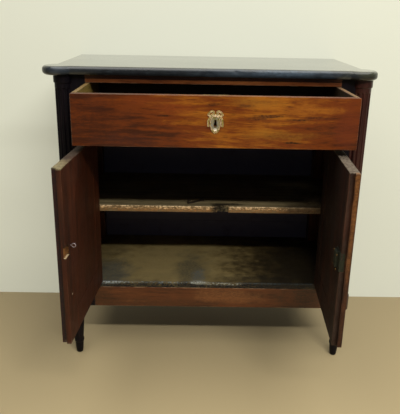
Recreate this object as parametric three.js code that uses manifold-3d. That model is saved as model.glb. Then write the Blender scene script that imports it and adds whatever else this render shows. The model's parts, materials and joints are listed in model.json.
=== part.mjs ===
// Side cabinet with a stone top, one drawer over two doors, engaged fluted columns and turned feet.
// Millimetres, +Z up. The drawer stands pulled out and both doors stand open.
// Pieces are drawn with x = 0 at the middle of the carcass, y = 0 at its front plane, +y to the back
// and z = 0 on the floor; the outer group then puts the origin under the middle of the whole.

import * as THREE from 'three';
import { mergeVertices } from 'three/addons/utils/BufferGeometryUtils.js';
import Module from 'manifold-3d';

const wasm = await Module();
wasm.setup();

// Clearances
const fit = 0.3;
const seatGap = 0.3;

// Carcass
const openingWidth = 686;
const postWidth = 63;
const postDepth = 46;
const carcassDepth = 388;
const rearPostSize = 46;
const carcassBottom = 168;
const carcassTop = 856;
const sidePanelThickness = 18;
const sidePanelSetback = 2;
const backBoardThickness = 12;
const backJointHeight = 310;
const backRailThickness = 22;

// Stone top
const stoneThickness = 24;
const stoneRounding = 10;
const stoneFrontOverhang = 21;
const stoneSideOverhang = 16;
const stoneBackOverhang = 8;
const lobeRadius = 45;
const stoneShift = -9;

// Columns
const columnInset = 3;
const columnSetback = 11;
const shaftRadius = 23.5;
const collarRadius = 26;
const capitalHeight = 22;
const baseHeight = 50;
const fluteCount = 12;
const flutesInBay = 4;
const fluteRadius = 4.6;
const fluteDepth = 3.2;
const fluteMargin = 12;

// Feet
const footTopRadius = 21;
const footTipRadius = 9;
const footPadHeight = 4;
const footRingHeight = 44;
const footRingHalf = 8;
const footNeckDrop = 20;
const footCoveDrop = 15;
const footBandHeight = 9;
const footInward = 3;
const footBackward = 2;
const spigotRadius = 7;
const spigotLength = 26;

// Rails
const topRailHeight = 19.5;
const drawerRailHeight = 17;
const drawerSpaceHeight = 125.5;
const bottomRailThickness = 22;
const tenonLength = 14;
const tenonThickness = 10;
const tenonShoulder = 4;

// Boards
const bottomBoardTop = 250;
const bottomBoardThickness = 18;
const boardTongue = 6;
const shelfTop = 483;
const shelfThickness = 18;
const shelfToDoor = 3;
const panelTongue = 8;

// Drawer
const drawerOut = 205;
const drawerLength = 365;
const drawerFrontThickness = 20;
const drawerFrontLap = 6;
const drawerSideThickness = 11;
const drawerSideGap = 0.8;
const drawerTopGap = 1;
const drawerBottomThickness = 7;
const drawerBottomRise = 13;
const drawerGroove = 5;
const drawerBackDrop = 7;
const tailCount = 4;
const tailNarrow = 15;
const tailWide = 22;
const tailRoot = 1;
const runnerWidth = 64;
const runnerHeight = 18;
const guideHeight = 20;

// Doors
const doorThickness = 23;
const doorGap = 1.5;
const doorFloorGap = 3;
const doorTopGap = 2;
const leftDoorAngle = 93.9;
const rightDoorAngle = 86.3;
const meetingX = -4.5;
const meetingGap = 2;
const leftTongue = 6;
const rightSetback = 8;
const lapDepth = 11.5;
const lapGap = 1.2;
const hingeStileWidth = 56;
const meetingStileWidth = 66;
const doorTopRailHeight = 56;
const doorBottomRailHeight = 66;
const doorPanelRecess = 9;
const doorPanelInset = 0.6;
const doorTongue = 10;
const doorTongueThickness = 7;

// Hinges
const axisForward = 3;
const knuckleRadius = 2.6;
const pinRadius = 1.2;
const leafThickness = 1.5;
const leafSunk = 1.2;
const leafWidth = 18;
const leafHeight = 60;
const lowerHingeRise = 77;
const upperHingeDrop = 72;

// Lock of the right door and its keeper in the left door
const lockCentreHeight = 474;
const lockHeight = 46;
const lockDepth = 46;
const lockThickness = 10;
const lockProud = 2;
const bossWidth = 27;
const bossProud = 9;
const bossMargin = 4;
const boltHeight = 14;
const boltThickness = 3;
const boltLength = 30;
const boltAboveCentre = 14;
const boltFromInside = 0.8;
const keeperHeight = 30;
const keeperDepth = 25;
const keeperFromInside = 5.4;
const keeperWall = 1.2;
const keeperBelowBolt = 3;
const notchClearance = 3;

// Ring of the left door and hook on the shelf
const ringFromEdge = 39;
const ringAboveShelf = 13.5;
const ringRadius = 4.6;
const ringWire = 1.3;
const ringOut = 8;
const ringStemRadius = 1.8;
const ringStemDepth = 10;
const hookReach = 51;
const hookRestAngle = 38;
const hookEngagedAngle = 68.3;
const hookPast = 4.7;
const hookTip = 12;
const hookWidth = 6;
const hookThickness = 3;
const hookEyeRadius = 6.5;
const hookPinRadius = 2.5;
const screwHeadRadius = 4.5;
const screwHeadHeight = 2.5;
const screwDepth = 12;

// Drawer lock
const drawerLockWidth = 60;
const drawerLockHeight = 78;
const drawerLockThickness = 12;
const drawerLockSunk = 9;
const drawerBoltWidth = 16;
const drawerBoltThickness = 5;
const drawerBoltLength = 24;
const drawerBoltThrow = 8;
const strikeClearance = 1.5;

// Escutcheons
const escutcheonWidth = 26;
const escutcheonHeight = 40;
const escutcheonThickness = 2.5;
const keyholeRadius = 2.9;
const keyholeNeck = 3.4;
const keyholeFoot = 8;
const keyholeFlare = 13;
const keyholeFromForend = 28;
const keyholeDrop = 65;
const keyholeBelowLock = 2;
const bowLoopWidth = 17;
const bowLoopHeight = 11.5;
const bowRibbon = 3;
const bowSpread = 11;
const bowDroop = 0.5;
const bowOverlap = 1;
const knotWidth = 18;
const knotHeight = 11;
const knotDrop = 2.5;
const tipWidth = 16;
const tipDrop = 4.5;
const tipRise = 6;
const ribbonGap = 3.5;
const ribbonWidth = 3.5;
const ribbonBelow = Math.PI / 9;
const ribbonAbove = Math.PI / 2.6;

// Places that follow from the sizes above
const openingHalf = openingWidth / 2;
const sideHalf = openingHalf + postWidth;
const panelOuter = sideHalf - sidePanelSetback;
const panelInner = panelOuter - sidePanelThickness;
const rearPostFront = carcassDepth - rearPostSize;
const rearPostInner = sideHalf - rearPostSize;
const backBoardFront = carcassDepth - backBoardThickness;
const columnX = sideHalf - columnInset;
const footX = columnX - footInward;
const footY = columnSetback + footBackward;
const rearFootX = rearPostInner + rearPostSize / 2;
const rearFootY = rearPostFront + rearPostSize / 2;
const columnBottom = carcassBottom;
const columnTop = carcassTop;
const shaftBottom = carcassBottom + baseHeight;
const shaftTop = carcassTop - capitalHeight;
const topRailBottom = carcassTop - topRailHeight;
const drawerRailTop = topRailBottom - drawerSpaceHeight;
const drawerRailBottom = drawerRailTop - drawerRailHeight;
const boardBottom = bottomBoardTop - bottomBoardThickness;
const shelfBottom = shelfTop - shelfThickness;
const shelfFront = doorThickness + shelfToDoor;
const drawerHalf = openingHalf - drawerSideGap;
const drawerBottom = drawerRailTop + seatGap;
const drawerTop = topRailBottom - drawerTopGap;
const drawerSideInner = drawerHalf - drawerSideThickness;
const drawerBoardBottom = drawerBottom + drawerBottomRise;
const drawerBoardTop = drawerBoardBottom + drawerBottomThickness;
const doorBottom = bottomBoardTop + doorFloorGap;
const doorTop = drawerRailBottom - doorTopGap;
const hingeX = openingHalf - doorGap / 2;
const lowerHingeHeight = doorBottom + lowerHingeRise;
const upperHingeHeight = doorTop - upperHingeDrop;
const doorFront = axisForward;
const doorBack = doorFront + doorThickness;
const lapPlane = doorFront + lapDepth;
const lockBottom = lockCentreHeight - lockHeight / 2;
const lockTop = lockCentreHeight + lockHeight / 2;
const boltBottom = lockCentreHeight + boltAboveCentre - boltHeight / 2;
const boltTop = boltBottom + boltHeight;

// Finishes
function finish(color, roughness, metalness) {
  return () => new THREE.MeshStandardMaterial({ color, roughness, metalness });
}

const stone = finish(0x23262a, 0.2, 0);
const mahogany = finish(0x5a2a12, 0.45, 0);
const darkMahogany = finish(0x2e1610, 0.4, 0);
const softwood = finish(0x8a7850, 0.8, 0);
const paleWood = finish(0x9a8450, 0.75, 0);
const gilt = finish(0xb59a5a, 0.4, 0.9);
const brass = finish(0x8a6a38, 0.45, 0.9);
const iron = finish(0x4a4644, 0.6, 0.9);

// Solids

// A closed three.js geometry as a solid that can be joined and cut.
function solidFrom(geometry) {
  const bare = geometry.clone();
  bare.deleteAttribute('normal');
  bare.deleteAttribute('uv');
  const merged = mergeVertices(bare);
  const corners = merged.index.array;
  const kept = [];
  for (let i = 0; i < corners.length; i += 3) {
    const [a, b, c] = corners.slice(i, i + 3);
    if (a !== b && b !== c && c !== a) {
      kept.push(a, b, c);
    }
  }
  return new wasm.Manifold(new wasm.Mesh({
    numProp: 3,
    vertProperties: Float32Array.from(merged.attributes.position.array),
    triVerts: Uint32Array.from(kept),
  }));
}

function geometryFrom(solid) {
  const mesh = solid.getMesh();
  const geometry = new THREE.BufferGeometry();
  geometry.setAttribute('position', new THREE.BufferAttribute(Float32Array.from(mesh.vertProperties), 3));
  geometry.setIndex(new THREE.BufferAttribute(Uint32Array.from(mesh.triVerts), 1));
  geometry.computeVertexNormals();
  return geometry;
}

// A block between two x, two y and two z values.
function block(x, y, z) {
  const geometry = new THREE.BoxGeometry(x[1] - x[0], y[1] - y[0], z[1] - z[0]);
  geometry.translate((x[0] + x[1]) / 2, (y[0] + y[1]) / 2, (z[0] + z[1]) / 2);
  return solidFrom(geometry);
}

// A round bar of one radius between two points.
function rod(radius, from, to, sides = 16) {
  const start = new THREE.Vector3(...from);
  const along = new THREE.Vector3(...to).sub(start);
  const geometry = new THREE.CylinderGeometry(radius, radius, along.length(), sides);
  geometry.translate(0, along.length() / 2, 0);
  const turn = new THREE.Quaternion().setFromUnitVectors(
    new THREE.Vector3(0, 1, 0),
    along.clone().normalize(),
  );
  geometry.applyQuaternion(turn);
  geometry.translate(...from);
  return solidFrom(geometry);
}

// A turned shape about an upright axis; the profile is radius and height pairs from the bottom up.
function turned(profile, axisX, axisY, sides = 20) {
  const points = profile.map(([radius, height]) => new THREE.Vector2(radius, height));
  const geometry = new THREE.LatheGeometry(points, sides);
  geometry.rotateX(Math.PI / 2);
  geometry.translate(axisX, axisY, 0);
  return solidFrom(geometry);
}

// An outline in the x-y plane raised between two heights.
function raised(shape, bottom, top) {
  const depth = top - bottom;
  const geometry = new THREE.ExtrudeGeometry(shape, { depth, bevelEnabled: false, curveSegments: 10 });
  geometry.translate(0, 0, bottom);
  return solidFrom(geometry);
}

// An outline drawn in y and z, given thickness between two x values.
function acrossX(points, x) {
  const shape = new THREE.Shape(points.map(([y, z]) => new THREE.Vector2(y, z)));
  const geometry = new THREE.ExtrudeGeometry(shape, { depth: x[1] - x[0], bevelEnabled: false });
  const turn = new THREE.Matrix4().makeBasis(
    new THREE.Vector3(0, 1, 0),
    new THREE.Vector3(0, 0, 1),
    new THREE.Vector3(1, 0, 0),
  );
  geometry.applyMatrix4(turn);
  geometry.translate(x[0], 0, 0);
  return solidFrom(geometry);
}

// An outline drawn in x and z, given thickness between two y values.
function acrossY(shape, y) {
  const depth = y[1] - y[0];
  const geometry = new THREE.ExtrudeGeometry(shape, { depth, bevelEnabled: false, curveSegments: 12 });
  geometry.rotateX(Math.PI / 2);
  geometry.translate(0, y[1], 0);
  return solidFrom(geometry);
}

// A range of x on the side that side says, -1 for the left and 1 for the right.
function sided(side, near, far) {
  return side > 0 ? [near, far] : [-far, -near];
}

function grown(range, by) {
  return [range[0] - by, range[1] + by];
}

const cabinet = new THREE.Group();
const sides = [['left', -1], ['right', 1]];

function add(name, solid, material, parent = cabinet) {
  const mesh = new THREE.Mesh(geometryFrom(solid), material());
  mesh.name = name;
  parent.add(mesh);
}

// Rails with a tenon at each end, and the mortises that take them
const rails = {
  top_front_rail: {
    half: openingHalf, y: [0, postDepth], z: [topRailBottom, carcassTop], material: mahogany,
  },
  drawer_rail: {
    half: openingHalf, y: [0, postDepth], z: [drawerRailBottom, drawerRailTop], material: mahogany,
  },
  bottom_front_rail: {
    half: openingHalf,
    y: [0, bottomRailThickness],
    z: [carcassBottom, boardBottom],
    tenonFrom: carcassBottom + spigotLength,
    material: mahogany,
  },
  top_back_rail: {
    half: rearPostInner,
    y: [backBoardFront - backRailThickness, backBoardFront],
    z: [topRailBottom, carcassTop],
    material: softwood,
  },
  bottom_back_rail: {
    half: rearPostInner,
    y: [backBoardFront - backRailThickness, backBoardFront],
    z: [carcassBottom, boardBottom],
    tenonFrom: carcassBottom + spigotLength,
    material: softwood,
  },
};

function tenonOf(rail, side, clearance) {
  const middle = (rail.y[0] + rail.y[1]) / 2;
  const low = (rail.tenonFrom ?? rail.z[0]) + tenonShoulder;
  return block(
    sided(side, rail.half - 1, rail.half + tenonLength + clearance),
    [middle - tenonThickness / 2 - clearance, middle + tenonThickness / 2 + clearance],
    [low - clearance, rail.z[1] - tenonShoulder + clearance],
  );
}

function mortised(post, side, names) {
  return names.reduce((left, name) => left.subtract(tenonOf(rails[name], side, fit)), post);
}

function railSolid(name) {
  const rail = rails[name];
  const body = block([-rail.half, rail.half], rail.y, rail.z);
  return body.add(tenonOf(rail, -1, 0)).add(tenonOf(rail, 1, 0));
}

// Stone top: straight sides and back, a straight front, and a round lobe over each column
function stoneOutline() {
  const front = -stoneFrontOverhang;
  const back = carcassDepth + stoneBackOverhang;
  const edge = sideHalf + stoneSideOverhang;
  const rise = columnSetback - front;
  const frontReach = Math.sqrt(lobeRadius ** 2 - rise ** 2);
  const sideReach = Math.sqrt(lobeRadius ** 2 - (edge - columnX) ** 2);
  const frontAngle = Math.atan2(rise, frontReach);
  const sideAngle = Math.atan2(sideReach, edge - columnX);
  const shape = new THREE.Shape();
  shape.moveTo(columnX - frontReach, front);
  shape.absarc(columnX, columnSetback, lobeRadius, Math.PI + frontAngle, 2 * Math.PI + sideAngle, false);
  shape.lineTo(edge, back);
  shape.lineTo(-edge, back);
  shape.lineTo(-edge, columnSetback + sideReach);
  shape.absarc(-columnX, columnSetback, lobeRadius, Math.PI - sideAngle, 2 * Math.PI - frontAngle, false);
  shape.closePath();
  return shape;
}

function stoneTop() {
  const geometry = new THREE.ExtrudeGeometry(stoneOutline(), {
    depth: stoneThickness - 2 * stoneRounding,
    bevelEnabled: true,
    bevelThickness: stoneRounding,
    bevelSize: stoneRounding,
    bevelOffset: -stoneRounding,
    bevelSegments: 4,
    curveSegments: 16,
  });
  geometry.translate(stoneShift, 0, carcassTop + stoneRounding);
  return solidFrom(geometry);
}

// Columns: turned base, shaft fluted where it stands clear of the post, and turned collar
const columnProfile = [
  [0, columnBottom],
  [collarRadius, columnBottom],
  [collarRadius, shaftBottom - 4],
  [collarRadius - 1.2, shaftBottom - 1.4],
  [shaftRadius, shaftBottom],
  [shaftRadius, shaftTop],
  [collarRadius - 0.6, shaftTop + 1],
  [collarRadius, shaftTop + 3],
  [collarRadius, columnTop],
  [0, columnTop],
];

function flute(axisX, axisY, angle) {
  const centre = shaftRadius - fluteDepth + fluteRadius;
  const length = shaftTop - shaftBottom - 2 * fluteMargin - 2 * fluteRadius;
  const geometry = new THREE.CapsuleGeometry(fluteRadius, length, 3, 10);
  geometry.rotateX(Math.PI / 2);
  geometry.translate(
    axisX + centre * Math.cos(angle),
    axisY + centre * Math.sin(angle),
    (shaftBottom + shaftTop) / 2,
  );
  return solidFrom(geometry);
}

function column(side) {
  const pitch = (2 * Math.PI) / fluteCount;
  const first = Math.PI + pitch * 1.5;
  let solid = turned(columnProfile, side * columnX, columnSetback, 36);
  for (let i = 0; i < fluteCount - flutesInBay; i += 1) {
    const angle = first + i * pitch;
    const mirrored = side > 0 ? angle : Math.PI - angle;
    solid = solid.subtract(flute(side * columnX, columnSetback, mirrored));
  }
  return solid.subtract(spigot(side * footX, footY, fit));
}

// The bay that the column stands in, cut out of the post's outer corner
function columnBay(side) {
  const low = carcassBottom - 1;
  const high = carcassTop + 1;
  const at = [side * columnX, columnSetback];
  return rod(shaftRadius + fit, [...at, low], [...at, high], 36)
    .add(rod(collarRadius + fit, [...at, low], [...at, shaftBottom + fit], 36))
    .add(rod(collarRadius + fit, [...at, shaftTop - fit], [...at, high], 36));
}

// Feet: a turned cone on a small pad, with a ring low down and a spigot on top
const footProfile = [
  [0, 0],
  [footTipRadius, 0],
  [footTipRadius + 1.6, footPadHeight],
  [footTipRadius + 3.6, footRingHeight - 2 * footRingHalf],
  [footTipRadius + 4, footRingHeight - footRingHalf],
  [footTipRadius + 5.6, footRingHeight - footRingHalf / 2],
  [footTipRadius + 5.8, footRingHeight],
  [footTipRadius + 5.6, footRingHeight + footRingHalf / 2],
  [footTipRadius + 4.6, footRingHeight + footRingHalf],
  [footTopRadius - 4.5, (footRingHeight + carcassBottom) / 2 - footNeckDrop],
  [footTopRadius - 3.5, (footRingHeight + carcassBottom) / 2],
  [footTopRadius - 2.6, carcassBottom - footNeckDrop - footBandHeight],
  [footTopRadius - 3.4, carcassBottom - footNeckDrop],
  [footTopRadius - 1, carcassBottom - footCoveDrop],
  [footTopRadius, carcassBottom - footBandHeight],
  [footTopRadius, carcassBottom],
  [0, carcassBottom],
];

function spigot(axisX, axisY, clearance) {
  return rod(
    spigotRadius + clearance,
    [axisX, axisY, carcassBottom - 1],
    [axisX, axisY, carcassBottom + spigotLength + clearance],
  );
}

function foot(axisX, axisY) {
  return turned(footProfile, axisX, axisY).add(spigot(axisX, axisY, 0));
}

// Side panels sit in grooves of the front and rear posts
const panelMiddle = (panelInner + panelOuter) / 2;

function panelTongueRange(side, clearance) {
  return sided(side, panelMiddle - panelTongue / 2 - clearance, panelMiddle + panelTongue / 2 + clearance);
}

function frontPost(side) {
  const post = block(sided(side, openingHalf, sideHalf), [0, postDepth], [carcassBottom, carcassTop]);
  const groove = block(
    panelTongueRange(side, fit),
    [postDepth - panelTongue - fit, postDepth + 1],
    [carcassBottom - 1, carcassTop + 1],
  );
  return mortised(post, side, ['top_front_rail', 'drawer_rail', 'bottom_front_rail'])
    .subtract(groove)
    .subtract(columnBay(side))
    .subtract(hingeRecess(side, lowerHingeHeight))
    .subtract(hingeRecess(side, upperHingeHeight));
}

function rearPost(side) {
  const x = sided(side, rearPostInner, sideHalf);
  const post = block(x, [rearPostFront, carcassDepth], [carcassBottom, carcassTop]);
  const groove = block(
    panelTongueRange(side, fit),
    [rearPostFront - 1, rearPostFront + panelTongue + fit],
    [carcassBottom - 1, carcassTop + 1],
  );
  return mortised(post, side, ['top_back_rail', 'bottom_back_rail'])
    .subtract(groove)
    .subtract(spigot(side * rearFootX, rearFootY, fit));
}

function sidePanel(side) {
  const x = sided(side, panelInner, panelOuter);
  const panel = block(x, [postDepth, rearPostFront], [carcassBottom, carcassTop]);
  const tongue = block(
    panelTongueRange(side, 0),
    [postDepth - panelTongue, rearPostFront + panelTongue],
    [carcassBottom, carcassTop],
  );
  const housing = (z) => block(
    sided(side, panelInner - 1, panelInner + boardTongue + fit),
    [postDepth - 1, rearPostFront + 1],
    z,
  );
  return panel.add(tongue)
    .subtract(housing([boardBottom, bottomBoardTop + fit]))
    .subtract(housing([shelfBottom, shelfTop + fit]));
}

// A board that runs between the posts in front, is housed in the side panels, and passes the rear posts
function notchedBoard(front, bottom, top) {
  const reach = panelInner + boardTongue;
  const half = [[openingHalf, front], [openingHalf, postDepth], [reach, postDepth],
    [reach, rearPostFront], [rearPostInner, rearPostFront], [rearPostInner, backBoardFront]];
  const mirrored = half.map(([x, y]) => [-x, y]).reverse();
  const shape = new THREE.Shape([...half, ...mirrored].map(([x, y]) => new THREE.Vector2(x, y)));
  return raised(shape, bottom, top);
}

function addCarcass() {
  add('stone_top', stoneTop(), stone);
  for (const name of Object.keys(rails)) {
    let solid = railSolid(name);
    if (name === 'top_front_rail') {
      solid = solid.subtract(drawerBolt(drawerBoltThrow, strikeClearance));
    }
    add(name, solid, rails[name].material);
  }
  for (const [word, side] of sides) {
    add(`front_post_${word}`, frontPost(side), darkMahogany);
    add(`front_column_${word}`, column(side), darkMahogany);
    add(`rear_post_${word}`, rearPost(side), mahogany);
    add(`side_panel_${word}`, sidePanel(side), mahogany);
    add(`front_foot_${word}`, foot(side * footX, footY), darkMahogany);
    add(`rear_foot_${word}`, foot(side * rearFootX, rearFootY), darkMahogany);
    addDrawerSupports(word, side);
  }
  add('bottom_board', notchedBoard(0, boardBottom, bottomBoardTop), softwood);
  const backX = [-rearPostInner, rearPostInner];
  const backY = [backBoardFront, carcassDepth];
  add('back_board_lower', block(backX, backY, [carcassBottom, backJointHeight]), softwood);
  add('back_board_upper', block(backX, backY, [backJointHeight, carcassTop]), softwood);
}

// Runner under the drawer's side and guide beside it
function addDrawerSupports(word, side) {
  const y = [postDepth, rearPostFront];
  const wide = sided(side, panelInner - runnerWidth, panelInner);
  const beside = sided(side, openingHalf, panelInner);
  add(`drawer_runner_${word}`, block(wide, y, [drawerRailTop - runnerHeight, drawerRailTop]), softwood);
  add(`drawer_guide_${word}`, block(beside, y, [drawerRailTop, drawerRailTop + guideHeight]), softwood);
}

// Drawer, drawn closed and then slid out
const drawerGroup = new THREE.Group();
drawerGroup.position.y = -drawerOut;
cabinet.add(drawerGroup);

// The tails on the front end of a drawer side
function tails(side, clearance) {
  const pitch = (drawerTop - drawerBottom) / tailCount;
  const root = drawerFrontThickness + tailRoot;
  const tip = drawerFrontLap - clearance;
  let joined = null;
  for (let i = 0; i < tailCount; i += 1) {
    const middle = drawerBottom + (i + 0.5) * pitch;
    const narrow = tailNarrow / 2 + clearance;
    const wide = tailWide / 2 + clearance;
    const tail = acrossX(
      [[tip, middle - wide], [root, middle - narrow], [root, middle + narrow], [tip, middle + wide]],
      sided(side, drawerSideInner - clearance, drawerHalf + clearance),
    );
    joined = joined ? joined.add(tail) : tail;
  }
  return joined;
}

function drawerBoardSpace(clearance) {
  return block(
    [-drawerSideInner - drawerGroove - clearance, drawerSideInner + drawerGroove + clearance],
    [drawerFrontThickness - drawerGroove - clearance, drawerLength + clearance],
    [drawerBoardBottom - clearance, drawerBoardTop + clearance],
  );
}

function drawerSide(side) {
  const x = sided(side, drawerSideInner, drawerHalf);
  const board = block(x, [drawerFrontThickness, drawerLength], [drawerBottom, drawerTop]);
  return board.add(tails(side, 0)).subtract(drawerBoardSpace(fit));
}

// A keyhole through y, round above and flared below, with z at the middle of its height
function keyhole(x, y, z) {
  const round = z + keyholeFlare / 2;
  const shape = new THREE.Shape();
  shape.moveTo(x - keyholeNeck / 2, round);
  shape.lineTo(x - keyholeFoot / 2, round - keyholeFlare);
  shape.lineTo(x + keyholeFoot / 2, round - keyholeFlare);
  shape.lineTo(x + keyholeNeck / 2, round);
  shape.closePath();
  return rod(keyholeRadius, [x, y[0], round], [x, y[1], round]).add(acrossY(shape, y));
}

const drawerLockFront = drawerFrontThickness - drawerLockSunk;

function drawerLockSpace(clearance) {
  return block(
    [-drawerLockWidth / 2 - clearance, drawerLockWidth / 2 + clearance],
    [drawerLockFront - clearance, drawerLockFront + drawerLockThickness],
    [drawerTop - drawerLockHeight - clearance, drawerTop + clearance],
  );
}

const drawerBoltMiddle = drawerLockFront + drawerLockThickness / 2;

function drawerBolt(rise, clearance) {
  return block(
    grown([0, 0], drawerBoltWidth / 2 + clearance),
    grown([drawerBoltMiddle, drawerBoltMiddle], drawerBoltThickness / 2 + clearance),
    [drawerTop - drawerBoltLength - clearance, drawerTop + rise],
  );
}

const drawerKeyhole = keyhole(0, [-escutcheonThickness - 1, drawerBoltMiddle], drawerTop - keyholeDrop);

// A stretch of ribbon that runs round an ellipse between two angles
function band(x, z, radiusX, radiusZ, width, from, to) {
  const shape = new THREE.Shape();
  shape.absellipse(x, z, radiusX + width, radiusZ + width, from, to, false);
  shape.absellipse(x, z, radiusX, radiusZ, to, from, true);
  shape.closePath();
  return shape;
}

// An oval plate; with a bow it carries two open ribbon loops that droop outward, a knot, a ribbon end down
// each side and a pointed tip below
function escutcheon(x, front, z, isBow) {
  const y = [front - escutcheonThickness, front];
  const oval = new THREE.Shape();
  oval.absellipse(x, z, escutcheonWidth / 2, escutcheonHeight / 2, 0, 2 * Math.PI);
  const plate = acrossY(oval, y);
  if (!isBow) {
    return plate;
  }
  const loopZ = z + escutcheonHeight / 2 + bowLoopHeight / 2 - bowOverlap;
  const knot = new THREE.Shape();
  knot.absellipse(x, z + escutcheonHeight / 2 - knotDrop, knotWidth / 2, knotHeight / 2, 0, 2 * Math.PI);
  const plateFoot = z - escutcheonHeight / 2;
  const tip = new THREE.Shape();
  tip.moveTo(x - tipWidth / 2, plateFoot + tipRise);
  tip.lineTo(x, plateFoot - tipDrop);
  tip.lineTo(x + tipWidth / 2, plateFoot + tipRise);
  tip.closePath();
  const sideX = escutcheonWidth / 2 + ribbonGap;
  const sideZ = escutcheonHeight / 2 + ribbonGap;
  return [-1, 1].reduce((joined, side) => {
    const centre = x + side * bowSpread;
    const loop = new THREE.Shape();
    const tilt = -side * bowDroop;
    loop.absellipse(centre, loopZ, bowLoopWidth / 2, bowLoopHeight / 2, 0, 2 * Math.PI, false, tilt);
    const eye = new THREE.Path();
    eye.absellipse(
      centre,
      loopZ,
      bowLoopWidth / 2 - bowRibbon,
      bowLoopHeight / 2 - bowRibbon,
      0,
      2 * Math.PI,
      false,
      tilt,
    );
    loop.holes.push(eye);
    const low = -ribbonBelow;
    const high = ribbonAbove;
    const end = side > 0
      ? band(x, z, sideX, sideZ, ribbonWidth, low, high)
      : band(x, z, sideX, sideZ, ribbonWidth, Math.PI - high, Math.PI - low);
    return joined.add(acrossY(loop, y)).add(acrossY(end, y));
  }, plate.add(acrossY(knot, y)).add(acrossY(tip, y)));
}

function addDrawer() {
  const front = block([-drawerHalf, drawerHalf], [0, drawerFrontThickness], [drawerBottom, drawerTop])
    .subtract(tails(-1, fit))
    .subtract(tails(1, fit))
    .subtract(drawerBoardSpace(fit))
    .subtract(drawerLockSpace(fit))
    .subtract(drawerKeyhole);
  add('drawer_front', front, mahogany, drawerGroup);
  for (const [word, side] of sides) {
    add(`drawer_side_${word}`, drawerSide(side), paleWood, drawerGroup);
  }
  const back = block(
    [-drawerSideInner, drawerSideInner],
    [drawerLength - drawerSideThickness, drawerLength],
    [drawerBoardTop + fit, drawerTop - drawerBackDrop],
  );
  add('drawer_back', back, paleWood, drawerGroup);
  add('drawer_bottom', drawerBoardSpace(0), paleWood, drawerGroup);
  const lock = drawerLockSpace(0).subtract(drawerBolt(1, fit)).subtract(drawerKeyhole);
  add('drawer_lock_case', lock, brass, drawerGroup);
  add('drawer_lock_bolt', drawerBolt(0, 0), iron, drawerGroup);
  const plate = escutcheon(0, 0, drawerTop - keyholeDrop, true).subtract(drawerKeyhole);
  add('drawer_escutcheon', plate, gilt, drawerGroup);
}

// Hinges: leaves and knuckles about an upright axis at x = 0, y = 0, for a closed door
// whose free edge points along +x when side is -1 and along -x when side is 1
function leaf(side, isMoving, height) {
  const inner = doorGap / 2 + leafSunk - leafThickness;
  return block(
    sided(isMoving ? -side : side, inner, inner + leafThickness),
    [0, doorFront + leafWidth],
    [height - leafHeight / 2, height + leafHeight / 2],
  );
}

function knuckle(radius, from, to) {
  return rod(radius, [0, 0, from], [0, 0, to], 14);
}

const knuckleHalf = leafHeight / 6;
const pinPast = 1;

function fixedHinge(side, height) {
  const low = [height - leafHeight / 2, height - knuckleHalf];
  const high = [height + knuckleHalf, height + leafHeight / 2];
  return leaf(side, false, height)
    .subtract(knuckle(knuckleRadius + fit, low[1], high[0]))
    .add(knuckle(knuckleRadius, ...low))
    .add(knuckle(knuckleRadius, ...high))
    .subtract(knuckle(pinRadius + fit, low[0] - pinPast, high[1] + pinPast));
}

function movingHinge(side, height) {
  const low = [height - leafHeight / 2 - pinPast, height - knuckleHalf + fit];
  const high = [height + knuckleHalf - fit, height + leafHeight / 2 + pinPast];
  return leaf(side, true, height)
    .subtract(knuckle(knuckleRadius + fit, ...low))
    .subtract(knuckle(knuckleRadius + fit, ...high))
    .add(knuckle(knuckleRadius, low[1], high[0]))
    .add(knuckle(pinRadius, ...low))
    .add(knuckle(pinRadius, ...high));
}

// The recess for a fixed leaf in a front post
function hingeRecess(side, height) {
  return block(
    sided(side, openingHalf - 1, openingHalf + leafSunk + fit),
    [-1, leafWidth + fit],
    [height - leafHeight / 2 - fit, height + leafHeight / 2 + fit],
  );
}

// Doors are drawn closed about the hinge axis. u runs from the axis to the free edge, so x is u on the
// left door and -u on the right one, and a door piece lies between two u, two y and two z values.
const doorEdge = doorGap / 2;
const frameY = [doorFront, doorBack];
const tongueY = [doorFront + doorPanelRecess, doorFront + doorPanelRecess + doorTongueThickness];

function freeEdge(side) {
  const outer = hingeX - side * meetingX - meetingGap / 2;
  return side < 0
    ? { outer, inner: outer + leftTongue, split: lapPlane + lapGap / 2 }
    : { outer, inner: outer - rightSetback, split: lapPlane - lapGap / 2 };
}

function doorBlock(side, u, y, z) {
  return block(sided(-side, ...u), y, z);
}

const leftEdge = freeEdge(-1);
const rightEdge = freeEdge(1);

// A stile or rail of a door has a groove in its inner edge for the tongues of what it holds
function hingeStile(side) {
  const end = doorEdge + hingeStileWidth;
  const z = [doorBottom, doorTop];
  const recess = (height) => doorBlock(
    side,
    [doorEdge - 1, doorEdge + leafSunk + fit],
    [doorFront - 1, doorFront + leafWidth + fit],
    [height - leafHeight / 2 - fit, height + leafHeight / 2 + fit],
  );
  return doorBlock(side, [doorEdge, end], frameY, z)
    .subtract(doorBlock(side, [end - doorTongue - fit, end + 1], grown(tongueY, fit), grown(z, 1)))
    .subtract(recess(lowerHingeHeight))
    .subtract(recess(upperHingeHeight));
}

function meetingStile(side) {
  const edge = freeEdge(side);
  const start = edge.outer - meetingStileWidth;
  const z = [doorBottom, doorTop];
  return doorBlock(side, [start, edge.outer], [doorFront, edge.split], z)
    .add(doorBlock(side, [start, edge.inner], [edge.split, doorBack], z))
    .subtract(doorBlock(side, [start - 1, start + doorTongue + fit], grown(tongueY, fit), grown(z, 1)));
}

function doorRail(side, z, isTop) {
  const u = [doorEdge + hingeStileWidth + seatGap, freeEdge(side).outer - meetingStileWidth - seatGap];
  const inner = isTop ? [z[0] - 1, z[0] + doorTongue + fit] : [z[1] - doorTongue - fit, z[1] + 1];
  return doorBlock(side, u, frameY, z)
    .add(doorBlock(side, grown(u, doorTongue), tongueY, z))
    .subtract(doorBlock(side, grown(u, doorTongue + 1), grown(tongueY, fit), inner));
}

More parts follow.
